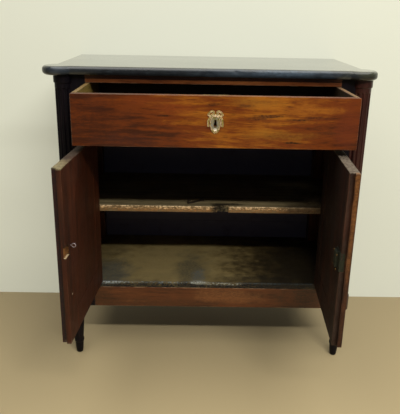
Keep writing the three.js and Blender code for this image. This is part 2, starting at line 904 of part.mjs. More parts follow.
function doorPanel(side) {
  const u = [doorEdge + hingeStileWidth + seatGap, freeEdge(side).outer - meetingStileWidth - seatGap];
  const z = [doorBottom + doorBottomRailHeight + seatGap, doorTop - doorTopRailHeight - seatGap];
  return doorBlock(side, u, [tongueY[0], doorBack - doorPanelInset], z)
    .add(doorBlock(side, grown(u, doorTongue), tongueY, grown(z, doorTongue)));
}

// The right door's lock is let into its inner face, with the forend on the free edge and a boss behind
function doorLockSpace(clearance) {
  return doorBlock(
    1,
    [rightEdge.inner - lockDepth - clearance, rightEdge.inner + clearance],
    [doorBack - lockThickness - clearance, doorBack + lockProud],
    [lockBottom - clearance, lockTop + clearance],
  );
}

const bossU = [rightEdge.inner - lockDepth, rightEdge.inner - lockDepth + bossWidth];
const bossY = [doorBack, doorBack + bossProud];

function doorBolt(clearance) {
  const back = doorBack - boltFromInside;
  return doorBlock(
    1,
    [rightEdge.inner - boltLength - clearance, rightEdge.inner],
    [back - boltThickness - clearance, back + clearance],
    [boltBottom - clearance, boltTop + clearance],
  );
}

const doorKeyholeU = rightEdge.inner - keyholeFromForend;
const doorKeyholeHeight = lockCentreHeight - keyholeBelowLock;
const doorKeyholeY = [doorFront - escutcheonThickness - 1, doorBack];
const doorKeyhole = keyhole(-doorKeyholeU, doorKeyholeY, doorKeyholeHeight);

function doorLock() {
  const boss = doorBlock(1, bossU, bossY, [lockBottom + bossMargin, lockTop - bossMargin]);
  return doorLockSpace(0).add(boss).subtract(doorBolt(fit)).subtract(doorKeyhole);
}

// The keeper is a brass tray, open to the free edge and to the inside
const keeperZ = [boltBottom - keeperBelowBolt, boltBottom - keeperBelowBolt + keeperHeight];

function keeperSpace(clearance) {
  return doorBlock(
    -1,
    [leftEdge.inner - keeperDepth - clearance, leftEdge.inner],
    [doorBack - keeperFromInside - clearance, doorBack],
    grown(keeperZ, clearance),
  );
}

function keeper() {
  const hollow = doorBlock(
    -1,
    [leftEdge.inner - keeperDepth + keeperWall, leftEdge.inner + 1],
    [doorBack - keeperFromInside + keeperWall, doorBack + 1],
    grown(keeperZ, -keeperWall),
  );
  return keeperSpace(0).subtract(hollow);
}

const ringU = leftEdge.inner - ringFromEdge;
const ringHeight = shelfTop + ringAboveShelf;

function ringStem(radius, depth) {
  const end = doorBack + ringOut - ringRadius;
  return rod(radius, [ringU, doorBack - depth, ringHeight], [ringU, end, ringHeight], 12);
}

function ring() {
  const loop = new THREE.TorusGeometry(ringRadius, ringWire, 8, 20);
  loop.rotateY(Math.PI / 2);
  loop.translate(ringU, doorBack + ringOut, ringHeight);
  return solidFrom(loop).add(ringStem(ringStemRadius, ringStemDepth));
}

function addDoor(word, side, openAngle) {
  const group = new THREE.Group();
  group.position.set(side * hingeX, -axisForward, 0);
  group.rotation.z = (side * openAngle * Math.PI) / 180;
  cabinet.add(group);
  let stile = meetingStile(side);
  if (side < 0) {
    stile = stile.subtract(keeperSpace(fit)).subtract(ringStem(ringStemRadius + fit, ringStemDepth + fit));
    add('left_door_keeper', keeper(), brass, group);
    add('left_door_ring', ring(), iron, group);
  } else {
    stile = stile.subtract(doorLockSpace(fit)).subtract(doorKeyhole);
    add('right_door_lock_case', doorLock(), brass, group);
    add('right_door_lock_bolt', doorBolt(0), iron, group);
    const plate = escutcheon(-doorKeyholeU, doorFront - seatGap, doorKeyholeHeight, false);
    add('right_door_escutcheon', plate.subtract(doorKeyhole), gilt, group);
  }
  add(`${word}_door_hinge_stile`, hingeStile(side), mahogany, group);
  add(`${word}_door_meeting_stile`, stile, mahogany, group);
  const topZ = [doorTop - doorTopRailHeight, doorTop];
  const bottomZ = [doorBottom, doorBottom + doorBottomRailHeight];
  add(`${word}_door_top_rail`, doorRail(side, topZ, true), mahogany, group);
  add(`${word}_door_bottom_rail`, doorRail(side, bottomZ, false), mahogany, group);
  add(`${word}_door_panel`, doorPanel(side), darkMahogany, group);
  const fixedGroup = new THREE.Group();
  fixedGroup.position.copy(group.position);
  cabinet.add(fixedGroup);
  for (const [place, height] of [['lower', lowerHingeHeight], ['upper', upperHingeHeight]]) {
    add(`${word}_${place}_hinge_moving`, movingHinge(side, height), brass, group);
    add(`${word}_${place}_hinge_fixed`, fixedHinge(side, height), brass, fixedGroup);
  }
}

// The hook lies on the shelf, turned by hookRestAngle from pointing left. Turned by hookEngagedAngle it
// reaches the ring of the closed left door, with its tip hookPast beyond the bar when it meets the ring.
const engaged = Math.PI + (hookEngagedAngle * Math.PI) / 180;
const ringClosed = [-hingeX + ringU, -axisForward + doorBack + ringOut];
const hookX = ringClosed[0] - hookReach * Math.cos(engaged) + hookPast * Math.sin(engaged);
const hookY = ringClosed[1] - hookReach * Math.sin(engaged) - hookPast * Math.cos(engaged);
const hookZ = [shelfTop + seatGap, shelfTop + seatGap + hookThickness];

// Drawn pointing left from its pivot, which is at x = 0, y = 0
function shelfHook() {
  const barEnd = [-hookReach - hookThickness / 2, -hookReach + hookThickness / 2];
  const barY = [-hookWidth / 2, hookWidth / 2];
  return rod(hookEyeRadius, [0, 0, hookZ[0]], [0, 0, hookZ[1]], 20)
    .add(block([barEnd[0], 0], barY, hookZ))
    .add(block(barEnd, barY, [hookZ[0], ringHeight + hookThickness / 2]))
    .add(rod(hookThickness / 2, [-hookReach, 0, ringHeight], [-hookReach, -hookTip, ringHeight], 12))
    .subtract(rod(hookPinRadius + fit, [0, 0, hookZ[0] - 1], [0, 0, hookZ[1] + 1]));
}

function hookScrewSpace(clearance) {
  return rod(
    hookPinRadius + clearance,
    [hookX, hookY, shelfTop - screwDepth - clearance],
    [hookX, hookY, hookZ[1] + seatGap],
  );
}

function hookScrew() {
  const headBottom = hookZ[1] + seatGap;
  const headTop = headBottom + screwHeadHeight;
  return hookScrewSpace(0).add(rod(screwHeadRadius, [hookX, hookY, headBottom], [hookX, hookY, headTop], 20));
}

function addShelf() {
  const notchX = grown([hingeX - bossU[1], hingeX - bossU[0]], notchClearance);
  const notchBack = -axisForward + bossY[1] + notchClearance;
  const notch = block(notchX, [shelfFront - 1, notchBack], [shelfBottom - 1, shelfTop + 1]);
  const board = notchedBoard(shelfFront, shelfBottom, shelfTop)
    .subtract(notch)
    .subtract(hookScrewSpace(fit));
  add('shelf', board, softwood);
  const hookGroup = new THREE.Group();
  hookGroup.position.set(hookX, hookY, 0);
  hookGroup.rotation.z = (hookRestAngle * Math.PI) / 180;
  cabinet.add(hookGroup);
  add('shelf_hook', shelfHook(), iron, hookGroup);
  add('shelf_hook_screw', hookScrew(), iron);
}

// How far forward a door's free edge reaches, as a y value
function doorReach(edge, openAngle) {
  const angle = (openAngle * Math.PI) / 180;
  const corners = [
    [edge.outer, doorFront], [edge.outer, edge.split], [edge.inner, edge.split], [edge.inner, doorBack],
  ];
  return Math.min(...corners.map(([u, y]) => -axisForward - u * Math.sin(angle) + y * Math.cos(angle)));
}

addCarcass();
addShelf();
addDrawer();
addDoor('left', -1, leftDoorAngle);
addDoor('right', 1, rightDoorAngle);

const frontmost = Math.min(doorReach(leftEdge, leftDoorAngle), doorReach(rightEdge, rightDoorAngle));
const rearmost = carcassDepth + stoneBackOverhang;
cabinet.position.set(-stoneShift, -(frontmost + rearmost) / 2, 0);

const part = new THREE.Group();
part.add(cabinet);

export default part;
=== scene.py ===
# Looks of the side cabinet: stone, woods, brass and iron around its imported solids.
# Metres throughout. Lengths that are easier to read in millimetres are written as a number times MM.

import json
from math import acos, asin, cos, hypot, pi, radians, sin

import bmesh
import bpy
from mathutils import Matrix, Vector, noise

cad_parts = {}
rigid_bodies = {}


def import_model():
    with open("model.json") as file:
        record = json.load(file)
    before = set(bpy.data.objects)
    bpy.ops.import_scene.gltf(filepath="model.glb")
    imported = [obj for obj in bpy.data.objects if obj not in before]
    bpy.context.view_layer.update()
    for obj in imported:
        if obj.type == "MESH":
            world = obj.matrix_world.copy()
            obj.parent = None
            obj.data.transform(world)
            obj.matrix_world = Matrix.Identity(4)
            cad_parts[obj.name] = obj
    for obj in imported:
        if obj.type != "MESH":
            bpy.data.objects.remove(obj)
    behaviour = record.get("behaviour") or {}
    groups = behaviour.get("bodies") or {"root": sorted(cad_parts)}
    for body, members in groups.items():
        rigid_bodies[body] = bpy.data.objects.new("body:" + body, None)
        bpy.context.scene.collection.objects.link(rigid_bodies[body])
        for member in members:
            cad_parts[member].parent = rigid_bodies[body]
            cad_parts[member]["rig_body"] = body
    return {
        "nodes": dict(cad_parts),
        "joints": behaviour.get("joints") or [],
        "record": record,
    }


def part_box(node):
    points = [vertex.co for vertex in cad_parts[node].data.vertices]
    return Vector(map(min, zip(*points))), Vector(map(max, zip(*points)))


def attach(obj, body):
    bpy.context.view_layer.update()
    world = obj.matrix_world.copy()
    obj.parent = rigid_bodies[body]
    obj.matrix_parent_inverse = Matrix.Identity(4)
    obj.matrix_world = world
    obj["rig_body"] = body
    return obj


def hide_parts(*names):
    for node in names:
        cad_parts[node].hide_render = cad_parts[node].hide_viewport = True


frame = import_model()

MM = 0.001
scene = bpy.context.scene
nodes = frame["nodes"]
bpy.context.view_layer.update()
slot_of = {row["node"]: row["material_slot"] for row in frame["record"]["subparts"]}
joint_of = {row["name"]: row for row in frame["joints"]}
sides = (("left", -1), ("right", 1))


# Doors: where a point of the closed door goes at rest
def door_place(side):
    word = "left" if side < 0 else "right"
    joint = joint_of[f"{word}_door_hinge"]
    closed = joint["range_deg"][1] if side < 0 else -joint["range_deg"][0]
    axis = Vector(joint["pos_m"])
    axis.z = 0
    return Matrix.Translation(axis) @ Matrix.Rotation(radians(side * closed), 4, "Z")


door_at = {side: door_place(side) for word, side in sides}


# Colours are written as the eye sees them and turned into light here
def colour(text):
    parts = [int(text[i:i + 2], 16) / 255 for i in (1, 3, 5)]
    light = [c / 12.92 if c <= 0.04045 else ((c + 0.055) / 1.055) ** 2.4 for c in parts]
    return (*light, 1.0)


# Node trees
class Wire:
    """An output of a node. Sums, differences, products and quotients of wires are nodes too."""

    def __init__(self, socket):
        self.socket = socket

    def __add__(self, other):
        return calc("ADD", self, other)

    def __sub__(self, other):
        return calc("SUBTRACT", self, other)

    def __rsub__(self, other):
        return calc("SUBTRACT", other, self)

    def __mul__(self, other):
        return calc("MULTIPLY", self, other)

    def __truediv__(self, other):
        return calc("DIVIDE", self, other)

    def __abs__(self):
        return calc("ABSOLUTE", self)


class Node:
    """A node in its tree; its outputs are taken by name or number."""

    def __init__(self, node):
        self.node = node

    def __getitem__(self, output):
        return Wire(self.node.outputs[output])


def put(kind, inputs=None, tree=None, **settings):
    """A new node. Each input is a value or a wire, and without a tree it goes into the wires' own."""
    inputs = inputs or {}
    if tree is None:
        tree = next(value.socket.id_data for value in inputs.values() if isinstance(value, Wire))
    node = tree.nodes.new(kind)
    for name, value in settings.items():
        setattr(node, name, value)
    for name, value in inputs.items():
        if isinstance(value, Wire):
            tree.links.new(value.socket, node.inputs[name])
        else:
            is_tint = isinstance(value, str) and value.startswith("#")
            node.inputs[name].default_value = colour(value) if is_tint else value
    return Node(node)


def calc(operation, *values, clamp=False):
    return put("ShaderNodeMath", dict(enumerate(values)), operation=operation, use_clamp=clamp)[0]


def vec(operation, *values, output=0):
    return put("ShaderNodeVectorMath", dict(enumerate(values)), operation=operation)[output]


def joined(**parts):
    """A vector of the given x, y and z."""
    return put("ShaderNodeCombineXYZ", {name.upper(): value for name, value in parts.items()})[0]


def split(vector):
    return put("ShaderNodeSeparateXYZ", {0: vector})


def blended(amount, first, second):
    """The first tint with an amount of the second over it."""
    return put("ShaderNodeMix", {0: amount, 6: first, 7: second}, data_type="RGBA", clamp_factor=True)[2]


def speckle(place, scale, detail=2.0, roughness=0.5, distortion=0.0, output="Fac"):
    return put("ShaderNodeTexNoise", {
        "Vector": place, "Scale": scale, "Detail": detail, "Roughness": roughness, "Distortion": distortion,
    })[output]


def streaky(place, scale, detail=2.0, roughness=0.5):
    """Speckle that repeats at its own rate along x, y and z."""
    return speckle(vec("MULTIPLY", place, scale), 1.0, detail, roughness)


def rising(value, low, high):
    """0 below low and 1 above high, with a smooth step between."""
    return put("ShaderNodeMapRange", {
        "Value": value, "From Min": low, "From Max": high,
    }, interpolation_type="SMOOTHSTEP")[0]


def bumps(height, strength, distance):
    return put("ShaderNodeBump", {"Height": height, "Strength": strength, "Distance": distance})[0]


def new_group(name, inputs, outputs, kind="GeometryNodeTree"):
    """A node group with its sockets, and the node that holds what it is given."""
    tree = bpy.data.node_groups.new(name, kind)
    for way, rows in (("INPUT", inputs), ("OUTPUT", outputs)):
        for title, socket, *value in rows:
            made = tree.interface.new_socket(title, in_out=way, socket_type="NodeSocket" + socket)
            if value:
                made.default_value = value[0]
    return tree, put("NodeGroupInput", tree=tree)


def new_material(name):
    material = bpy.data.materials.new(name)
    material.use_nodes = True
    material.node_tree.nodes.clear()
    return material


def shaded(material, inputs, kind="ShaderNodeBsdfPrincipled"):
    """Ends a material's tree with its shader."""
    shader = put(kind, inputs, material.node_tree)
    put("ShaderNodeOutputMaterial", {"Surface": shader[0]})
    return material


# Timber: streaks, fibres, pores and clouds along x, end grain across it, and worn arrises
TINTS = ("Dark", "Middle", "Light", "End", "Wear")
AMOUNTS = ("Figure", "Cloud", "Pores", "Smooth", "Rough", "Wear Amount")


def timber_tree():
    rows = [("Place", "Vector"), ("Facing", "Vector"), ("Grain", "Vector")]
    rows += [(name, "Float") for name in ("Arris", "Bias") + AMOUNTS]
    rows += [(name, "Color") for name in TINTS]
    results = [("Colour", "Color"), ("Roughness", "Float"), ("Height", "Float")]
    tree, given = new_group("timber", rows, results, "ShaderNodeTree")
    place = given["Place"]
    sway = speckle(vec("MULTIPLY", place, (1.6, 6, 6)), 1.0, output="Color")
    swayed = vec("MULTIPLY_ADD", vec("SUBTRACT", sway, (0.5, 0.5, 0.5)), (0.0, 0.035, 0.035), place)
    along = vec("MULTIPLY", swayed, given["Grain"])
    streaks = speckle(along, 1.0, 6.0, 0.62, 0.4)
    fibres = speckle(along, 9.0, 3.0, 0.6)
    dashes = streaky(along, (5, 4, 4), 6.0, 0.65)
    clouds = streaky(place, (3, 7, 7), 3.0)
    ribbon = streaky(swayed, (24, 7, 7))
    swing = (streaks * 2.4 + fibres * 0.7 + ribbon * 0.5 - 1.8) * given["Figure"]
    tone = swing + (clouds - 0.5) * given["Cloud"] + given["Bias"] + 0.5
    tint = blended(rising(tone, 0.0, 0.5), given["Dark"], given["Middle"])
    tint = blended(rising(tone, 0.5, 1.1), tint, given["Light"])
    dash = rising(dashes, 0.54, 0.64) * given["Pores"]
    tint = blended(dash, tint, blended(0.2, given["Dark"], "#000000"))
    is_end = rising(abs(split(given["Facing"])[0]), 0.75, 0.95)
    rings = rising(streaky(place, (90, 500, 500), 3.0), 0.3, 0.7)
    tint = blended(is_end * 0.9, tint, blended(rings, given["Dark"], given["End"]))
    worn = given["Arris"] * rising(speckle(place, 30.0, 4.0, 0.6), 0.38, 0.62) * given["Wear Amount"]
    tint = blended(worn, tint, given["Wear"])
    hazy = rising(speckle(place, 11.0, 5.0, 0.65), 0.3, 0.7)
    gloss = hazy * (given["Rough"] - given["Smooth"]) + given["Smooth"]
    gloss = calc("ADD", gloss, worn * 0.25, clamp=True)
    height = fibres * 0.6 + streaks * 0.5 - dash * 0.8
    put("NodeGroupOutput", {"Colour": tint, "Roughness": gloss, "Height": height})
    return tree


TIMBER = timber_tree()

# Each wood: its tints and amounts in the order above, how often its streaks repeat in a metre along and
# across the grain, its coat, bump and sheen
WOODS = {
    "front veneer": (
        "#361506 #602a08 #8e5412 #6a4a34 #a07a58", (0.72, 1.3, 0.45, 0.28, 0.42, 0.5),
        (9, 95), 0.12, 0.08, 0.35),
    "rail veneer": (
        "#2c1408 #552c13 #744420 #4a3020 #9a7c60", (0.7, 0.6, 0.5, 0.32, 0.5, 0.8),
        (4.5, 80), 0.15, 0.08, 0.35),
    # The polish darkened as painted shade, for the front posts, the left column and the feet
    "dark polish": (
        "#030306 #0c090e #1e1517 #2a1a14 #3a2a24", (0.8, 0.6, 0.4, 0.45, 0.6, 0.5),
        (4, 75), 0.03, 0.06, 0.15),
    # The same polish painted lighter and redder as painted light, for the right column
    "polish in painted light": (
        "#150a0a #321814 #522e25 #3a241a #645040", (0.8, 0.6, 0.4, 0.3, 0.45, 0.5),
        (4, 75), 0.2, 0.06, 0.35),
    "side mahogany": (
        "#2e160b #522a14 #70421f #5a3a28 #7a563e", (0.8, 0.8, 0.5, 0.3, 0.48, 0.5),
        (3.5, 60), 0.2, 0.08, 0.35),
    "door inside": (
        "#1b0a04 #3a180a #5a2a12 #2c140a #6a4a34", (0.7, 0.9, 0.5, 0.5, 0.7, 0.5),
        (2.6, 70), 0.0, 0.1, 0.35),
    "old board": (
        "#2c2416 #5a4b2c #7c6a40 #4a3e2c #a8a494", (0.6, 1.2, 0.3, 0.6, 0.85, 0.3),
        (2.6, 30), 0.0, 0.16, 0.35),
    "shelf board": (
        "#463c2a #776a4c #9a8862 #5a4a34 #d8b88c", (0.7, 0.9, 0.4, 0.6, 0.85, 1.0),
        (4, 55), 0.0, 0.25, 0.35),
    "drawer oak": (
        "#46381a #7c6630 #9c864e #7a6844 #a8926a", (0.7, 0.6, 0.5, 0.55, 0.75, 0.6),
        (3, 90), 0.0, 0.18, 0.35),
    # The drawer's oak darkened as painted shade, for its back and bottom
    "drawer dusk": (
        "#1a140e #30251a #4a3a26 #30251a #4e4030", (0.8, 0.8, 0.4, 0.6, 0.8, 0.4),
        (3, 70), 0.0, 0.18, 0.35),
    "dark back": (
        "#221c26 #38303a #4c444c #2e282e #4a4248", (0.8, 0.9, 0.4, 0.6, 0.85, 0.4),
        (3, 40), 0.0, 0.15, 0.35),
}


def with_stains_and_painted_light(tint, here, stain_and_light_patches):
    """Ragged patches of stain, wear and painted light and shade: each a centre, a reach along x, y and z, an
    amount, a tint and maybe a least share.
    """
    if not stain_and_light_patches:
        return tint
    ragged = vec("SUBTRACT", speckle(here, 24.0, 3.0, 0.6, output="Color"), (0.5, 0.5, 0.5))
    spread = rising(streaky(here, (150, 300, 300), 3.0, 0.7), 0.3, 0.7)
    for centre, reach, amount, patch_tint, *least in stain_and_light_patches:
        least = least[0] if least else 0.3
        away = vec("MULTIPLY", vec("SUBTRACT", here, centre), tuple(1 / r for r in reach))
        length = vec("LENGTH", vec("MULTIPLY_ADD", ragged, (1.6, 1.6, 1.6), away), output="Value")
        near = 1.0 - rising(length, 0.35, 1.25)
        tint = blended(near * (spread * (1 - least) + least) * amount, tint, patch_tint)
    return tint


def timber(look, grain, shift, bias=None, stain_and_light_patches=()):
    """One piece's wood: its look, its grain direction at rest, and where on the plank it was cut.
    bias is a centre, a reach, what is added to the tone there, and what is added everywhere. It carries a
    painted pool of light on the drawer front and painted shade on the doors."""
    tints, amounts, (along, across), coat, bump, sheen = WOODS[look]
    material = new_material(look.replace(" ", "_"))
    here = put("ShaderNodeTexCoord", tree=material.node_tree)
    place = here["Object"]
    turn = Vector(grain).rotation_difference(Vector(X)).to_euler()
    cut_at = (shift * 1.7, shift * 0.61, shift * 0.37)
    laid = put("ShaderNodeMapping", {"Vector": place, "Rotation": turn, "Location": cut_at})
    facing = put("ShaderNodeMapping", {"Vector": here["Normal"], "Rotation": turn}, vector_type="VECTOR")
    arris = put("ShaderNodeAttribute", tree=material.node_tree, attribute_name="arris")
    inputs = dict(zip(TINTS + AMOUNTS, (*tints.split(), *amounts)))
    if bias:
        centre, reach, amount, base = bias
        away = vec("DISTANCE", place, centre, output="Value")
        inputs["Bias"] = rising(away, reach, 0.0) * amount + base
    group = put("ShaderNodeGroup", {
        "Place": laid[0], "Facing": facing[0], "Arris": arris["Fac"], "Grain": (along, across, across),
        **inputs,
    }, node_tree=TIMBER)
    return shaded(material, {
        "Base Color": with_stains_and_painted_light(group["Colour"], place, stain_and_light_patches), "Roughness": group["Roughness"],
        "Normal": bumps(group["Height"], bump * 3, 0.4 * MM), "Coat Weight": coat,
        "Coat Roughness": 0.2, "Specular IOR Level": sheen,
    })


stone_low, stone_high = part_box("stone_top")


# Stone: near black, polished, with pale veins, painted reflections on its edge, and a pale bloom in patches
# on the top that is partly dust and partly a painted reflection of the wall
def stone_material():
    material = new_material("polished_stone")
    here = put("ShaderNodeTexCoord", tree=material.node_tree)
    place = here["Object"]
    bent = vec("MULTIPLY_ADD", speckle(place, 5.0, 3.0, output="Color"), (0.12, 0.12, 0.12), place)
    tint = blended(rising(speckle(bent, 14.0, 6.0, 0.6), 0.35, 0.7), "#14171a", "#272c2e")
    vein = 1.0 - rising(abs(speckle(bent, 6.0, 8.0, 0.55, 0.6) - 0.5), 0.0, 0.012)
    thin = rising(speckle(place, 8.0), 0.5, 0.65)
    tint = blended(vein * thin * 0.35, tint, "#7c8480")
    upward = split(here["Normal"])[2]
    side_face = 1.0 - rising(abs(upward), 0.3, 0.9)
    # The side faces are mottled bluish grey: a painted reflection
    mottled_reflection = rising(streaky(place, (40, 60, 90), 4.0, 0.7), 0.5, 0.75)
    tint = blended(mottled_reflection * side_face * 0.6, tint, "#3c4548")
    front = stone_low.y + 4 * MM
    level = (stone_low.z + stone_high.z) / 2
    tint = with_stains_and_painted_light(tint, place, (
        # Painted reflections: bluish over the right half of the edge and on the left lobe. The right lobe is
        # darker and olive, and the left half of the edge is painted dark to dim its reflection.
        ((0.150, front, level), (0.26, 0.03, 0.03), 0.8, "#323c46"),
        ((0.200, front, level + 4 * MM), (0.10, 0.03, 8 * MM), 0.8, "#4a5864"),
        ((-0.395, front, level + 2 * MM), (0.03, 0.05, 0.02), 0.8, "#3a444e"),
        ((0.400, front, level), (0.06, 0.09, 0.03), 1.0, "#14160e"),
        ((0.410, front, level + 6 * MM), (0.05, 0.05, 8 * MM), 0.7, "#3c3e2c"),
        ((-0.200, front, level - 2 * MM), (0.24, 0.03, 0.03), 0.8, "#0b0d10"),
    ))
    # A pale film on the top faces, partly dust and partly a painted reflection of the wall
    dust_and_reflection_film = rising(streaky(place, (3, 6, 6), 5.0, 0.6), 0.35, 0.8)
    top_face = rising(upward, 0.6, 0.98)
    tint = blended(dust_and_reflection_film * top_face * 0.45, tint, "#8c8c80")
    smear = streaky(place, (8, 20, 20), 5.0, 0.7)
    return shaded(material, {
        "Base Color": tint, "Roughness": rising(smear, 0.3, 0.75) * 0.08 + 0.05 + side_face * 0.3,
        "Normal": bumps(speckle(place, 260.0) * side_face + smear * 0.3, 0.05, 0.4 * MM), "IOR": 1.56,
        "Coat Weight": side_face * -0.4 + 0.5, "Coat Roughness": 0.06,
    })


# Metals: dark in hollows, with patches of tarnish and of painted light and shade; crests can be painted
# bright, partly wear and partly a painted highlight, and the dish's field can have its own tint
def metal_material(
    name, bright, patch_tint, hollow, smooth, rough, reach, metallic=0.85, crest=None, field=None, stain_and_light_patches=(),
):
    material = new_material(name)
    tree = material.node_tree
    place = put("ShaderNodeTexCoord", tree=tree)["Object"]
    patches = speckle(place, 160.0, 5.0, 0.65)
    tint = blended(rising(patches, 0.4, 0.7), bright, patch_tint)
    # The crest tint is partly wear and partly a painted highlight
    for layer, other in (("field", field), ("crest", crest)):
        if other:
            marked = put("ShaderNodeAttribute", tree=tree, attribute_name=layer)["Fac"]
            tint = blended(marked * rising(patches, 0.7, 0.35), tint, other)
    shade = put("ShaderNodeAmbientOcclusion", {"Distance": reach}, tree, samples=8)["AO"]
    grime = 1.0 - rising(shade, 0.35, 0.8)
    tint = blended(grime * 0.85, tint, hollow)
    gloss = rising(patches, 0.3, 0.7) * (rough - smooth) + smooth
    return shaded(material, {
        "Base Color": with_stains_and_painted_light(tint, place, stain_and_light_patches), "Metallic": metallic,
        "Roughness": calc("ADD", gloss, grime * 0.2, clamp=True),
        "Normal": bumps(speckle(place, 900.0, 3.0), 0.15, 0.2 * MM),
    })


STONE = stone_material()
plate_low, plate_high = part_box("drawer_escutcheon")
plate_middle = (plate_low.x + plate_high.x) / 2
PLATE_RISE = 24.5 * MM
plate_z = plate_low.z + PLATE_RISE
# Gilt: crests painted pale, partly wear and partly a painted highlight; a dark patch round the drawer plate's
# keyhole, and a painted highlight below the keyhole
GILT = metal_material(
    "gilt_brass", "#a48c3c", "#6c6a1e", "#1a1402", 0.3, 0.5, 3 * MM, 0.4, "#f8dcc0", "#8e8c86", (
        ((plate_middle, plate_low.y, plate_z), (5.5 * MM, 0.02, 11 * MM), 1.1, "#1c1810"),
        ((plate_middle, plate_low.y, plate_z - 12.5 * MM), (5 * MM, 0.02, 3.5 * MM), 1.3, "#e8e0d4"),
    ),
)
BRASS = metal_material("aged_brass", "#96703e", "#665634", "#30240e", 0.4, 0.65, 4 * MM)
low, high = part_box("left_door_keeper")
x, y, z = (low + high) / 2
# The keeper's pocket: painted shadow at its top and on its right wall, and painted light on its floor
KEEPER_BRASS = metal_material(
    "keeper_brass", "#96683a", "#744c26", "#2a1a0a", 0.5, 0.75, 4 * MM, 0.4, stain_and_light_patches=(
        ((x, y, high.z), (0.05, 0.05, 7 * MM), 1.6, "#160b08"),
        ((high.x, y, z), (5 * MM, 0.05, 0.05), 1.3, "#241208"),
        ((x, y, low.z), (0.05, 0.05, 2.5 * MM), 1.4, "#c8b490"),
    ),
)
GREEN_BRASS = metal_material("green_brass", "#34362a", "#262c24", "#0e100c", 0.5, 0.75, 4 * MM, 0.6)
IRON = metal_material("dark_iron", "#5a504a", "#3e322c", "#1c1612", 0.4, 0.65, 3 * MM, 0.8)
RUBBED_IRON = metal_material("rubbed_iron", "#a4989a", "#625250", "#2a201a", 0.4, 0.65, 3 * MM, 0.6)


# Meshes
WELD = 0.01 * MM
FLAT = radians(1)
SHARP = radians(50)


def linked(name, data):
    """A new object in the scene."""
    made = bpy.data.objects.new(name, data)
    scene.collection.objects.link(made)
    return made


def skinned(shape, rings, closed=False):
    """Faces from ring to ring of points. The last joins the first if closed, or else both ends are capped."""
    for first, second in zip(rings, rings[1:] + rings[:1] * closed):
        for i in range(len(first)):
            j = (i + 1) % len(first)
            shape.faces.new((first[i], first[j], second[j], second[i]))
    if not closed:
        shape.faces.new(list(reversed(rings[0])))
        shape.faces.new(rings[-1])


def finished(name, shape, material, node=None, body=None):
    """Turns a bmesh into a piece. It stands for a node if one is given, and has that node's body."""
    for face in shape.faces:
        face.smooth = True
    for edge in shape.edges:
        edge.smooth = not (edge.is_manifold and edge.calc_face_angle(0) > SHARP)
    mesh = bpy.data.meshes.new(name)
    shape.to_mesh(mesh)
    shape.free()
    mesh.materials.append(material)
    piece = linked(name, mesh)
    piece.modifiers.new("even shading", "WEIGHTED_NORMAL").keep_sharp = True
    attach(piece, body or nodes[node]["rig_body"])
    if node:
        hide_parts(node)


def welded(node):
    """A CAD node's solid with its loose triangles joined into plain faces."""
    shape = bmesh.new()
    shape.from_mesh(nodes[node].data)
    bmesh.ops.remove_doubles(shape, verts=shape.verts, dist=WELD)
    bmesh.ops.dissolve_limit(shape, angle_limit=FLAT, verts=shape.verts, edges=shape.edges)
    return shape


def eased(node, material, width, shown=None):
    """A copy of a CAD node with its outer arrises taken off, which stands for the node.
    shown says of an edge's middle whether its arris is eased."""
    shape = welded(node)
    arris = shape.faces.layers.float.new("arris")
    corners = [
        edge for edge in shape.edges
        if edge.is_manifold and edge.is_convex and edge.calc_face_angle(0) > radians(40)
        and (shown is None or shown((edge.verts[0].co + edge.verts[1].co) / 2))
    ]
    made = bmesh.ops.bevel(
        shape, geom=corners, offset=width, offset_type="OFFSET", segments=2, profile=0.5,
        affect="EDGES", clamp_overlap=True, loop_slide=True,
    )
    for face in made["faces"]:
        face[arris] = 1.0
    finished(f"{node}_look", shape, material, node)


# Plain wooden pieces: look, grain direction, and each node with the width of its arris in millimetres
X = (1, 0, 0)
Y = (0, 1, 0)
Z = (0, 0, 1)
wooden = [
    ("rail veneer", X, {"drawer_rail": 0.8, "top_front_rail": 0.8, "bottom_front_rail": 1.2}),
    ("dark back", X, {"top_back_rail": 0.8, "bottom_back_rail": 0.8}),
    ("dark back", X, {"back_board_lower": 1.2, "back_board_upper": 1.2}),
    # The drawer's back and bottom in painted shade
    ("drawer dusk", X, {"drawer_back": 1.0, "drawer_bottom": 0.6}),
]
for word, side in sides:
    wooden += [
        # The front posts in painted shade
        ("dark polish", Z, {f"front_post_{word}": 0.8}),
        ("side mahogany", Z, {f"rear_post_{word}": 1.0, f"side_panel_{word}": 0.8}),
        ("dark back", Y, {f"drawer_runner_{word}": 0.8, f"drawer_guide_{word}": 0.8}),
    ]
widths = [(look, grain, *row) for look, grain, rows in wooden for row in rows.items()]


def on_face(y, rows):
    """Patches on an upright face at y, stains and painted light alike: each row has x and z, the reach along
    x and z, an amount and a tint.
    """
    return tuple(((x, y, z), (wide, 0.02, high), amount, tint) for x, z, wide, high, amount, tint in rows)


# The bottom front rail: darker at both ends and low at the left, lighter a little right of its middle
low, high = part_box("bottom_front_rail")
middle = (low.z + high.z) / 2
rail_patches = on_face(low.y, (
    (-0.330, middle, 0.08, 0.05, 0.7, "#2a190a"),
    (-0.130, low.z + 10 * MM, 0.20, 0.02, 0.7, "#342012"),
    (0.070, middle + 6 * MM, 0.11, 0.03, 0.8, "#754a28"),
    (0.340, middle, 0.12, 0.06, 0.9, "#281a12"),
))
for index, (look, grain, node, width) in enumerate(widths):
    face_tints = rail_patches if node == "bottom_front_rail" else ()
    if node.startswith("back_board"):
        inner, outer = (corner.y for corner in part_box(node))
        face_tints = (
            ((0.0, outer + 2 * MM, 0.5), (9, 9 * MM, 9), 0.8, "#6a5236"),
            ((0.0, inner - 2 * MM, 0.5), (9, 7 * MM, 9), 0.9, "#605e76", 1.0),
        )
    eased(node, timber(look, grain, index * 0.83, None, face_tints), width * MM)

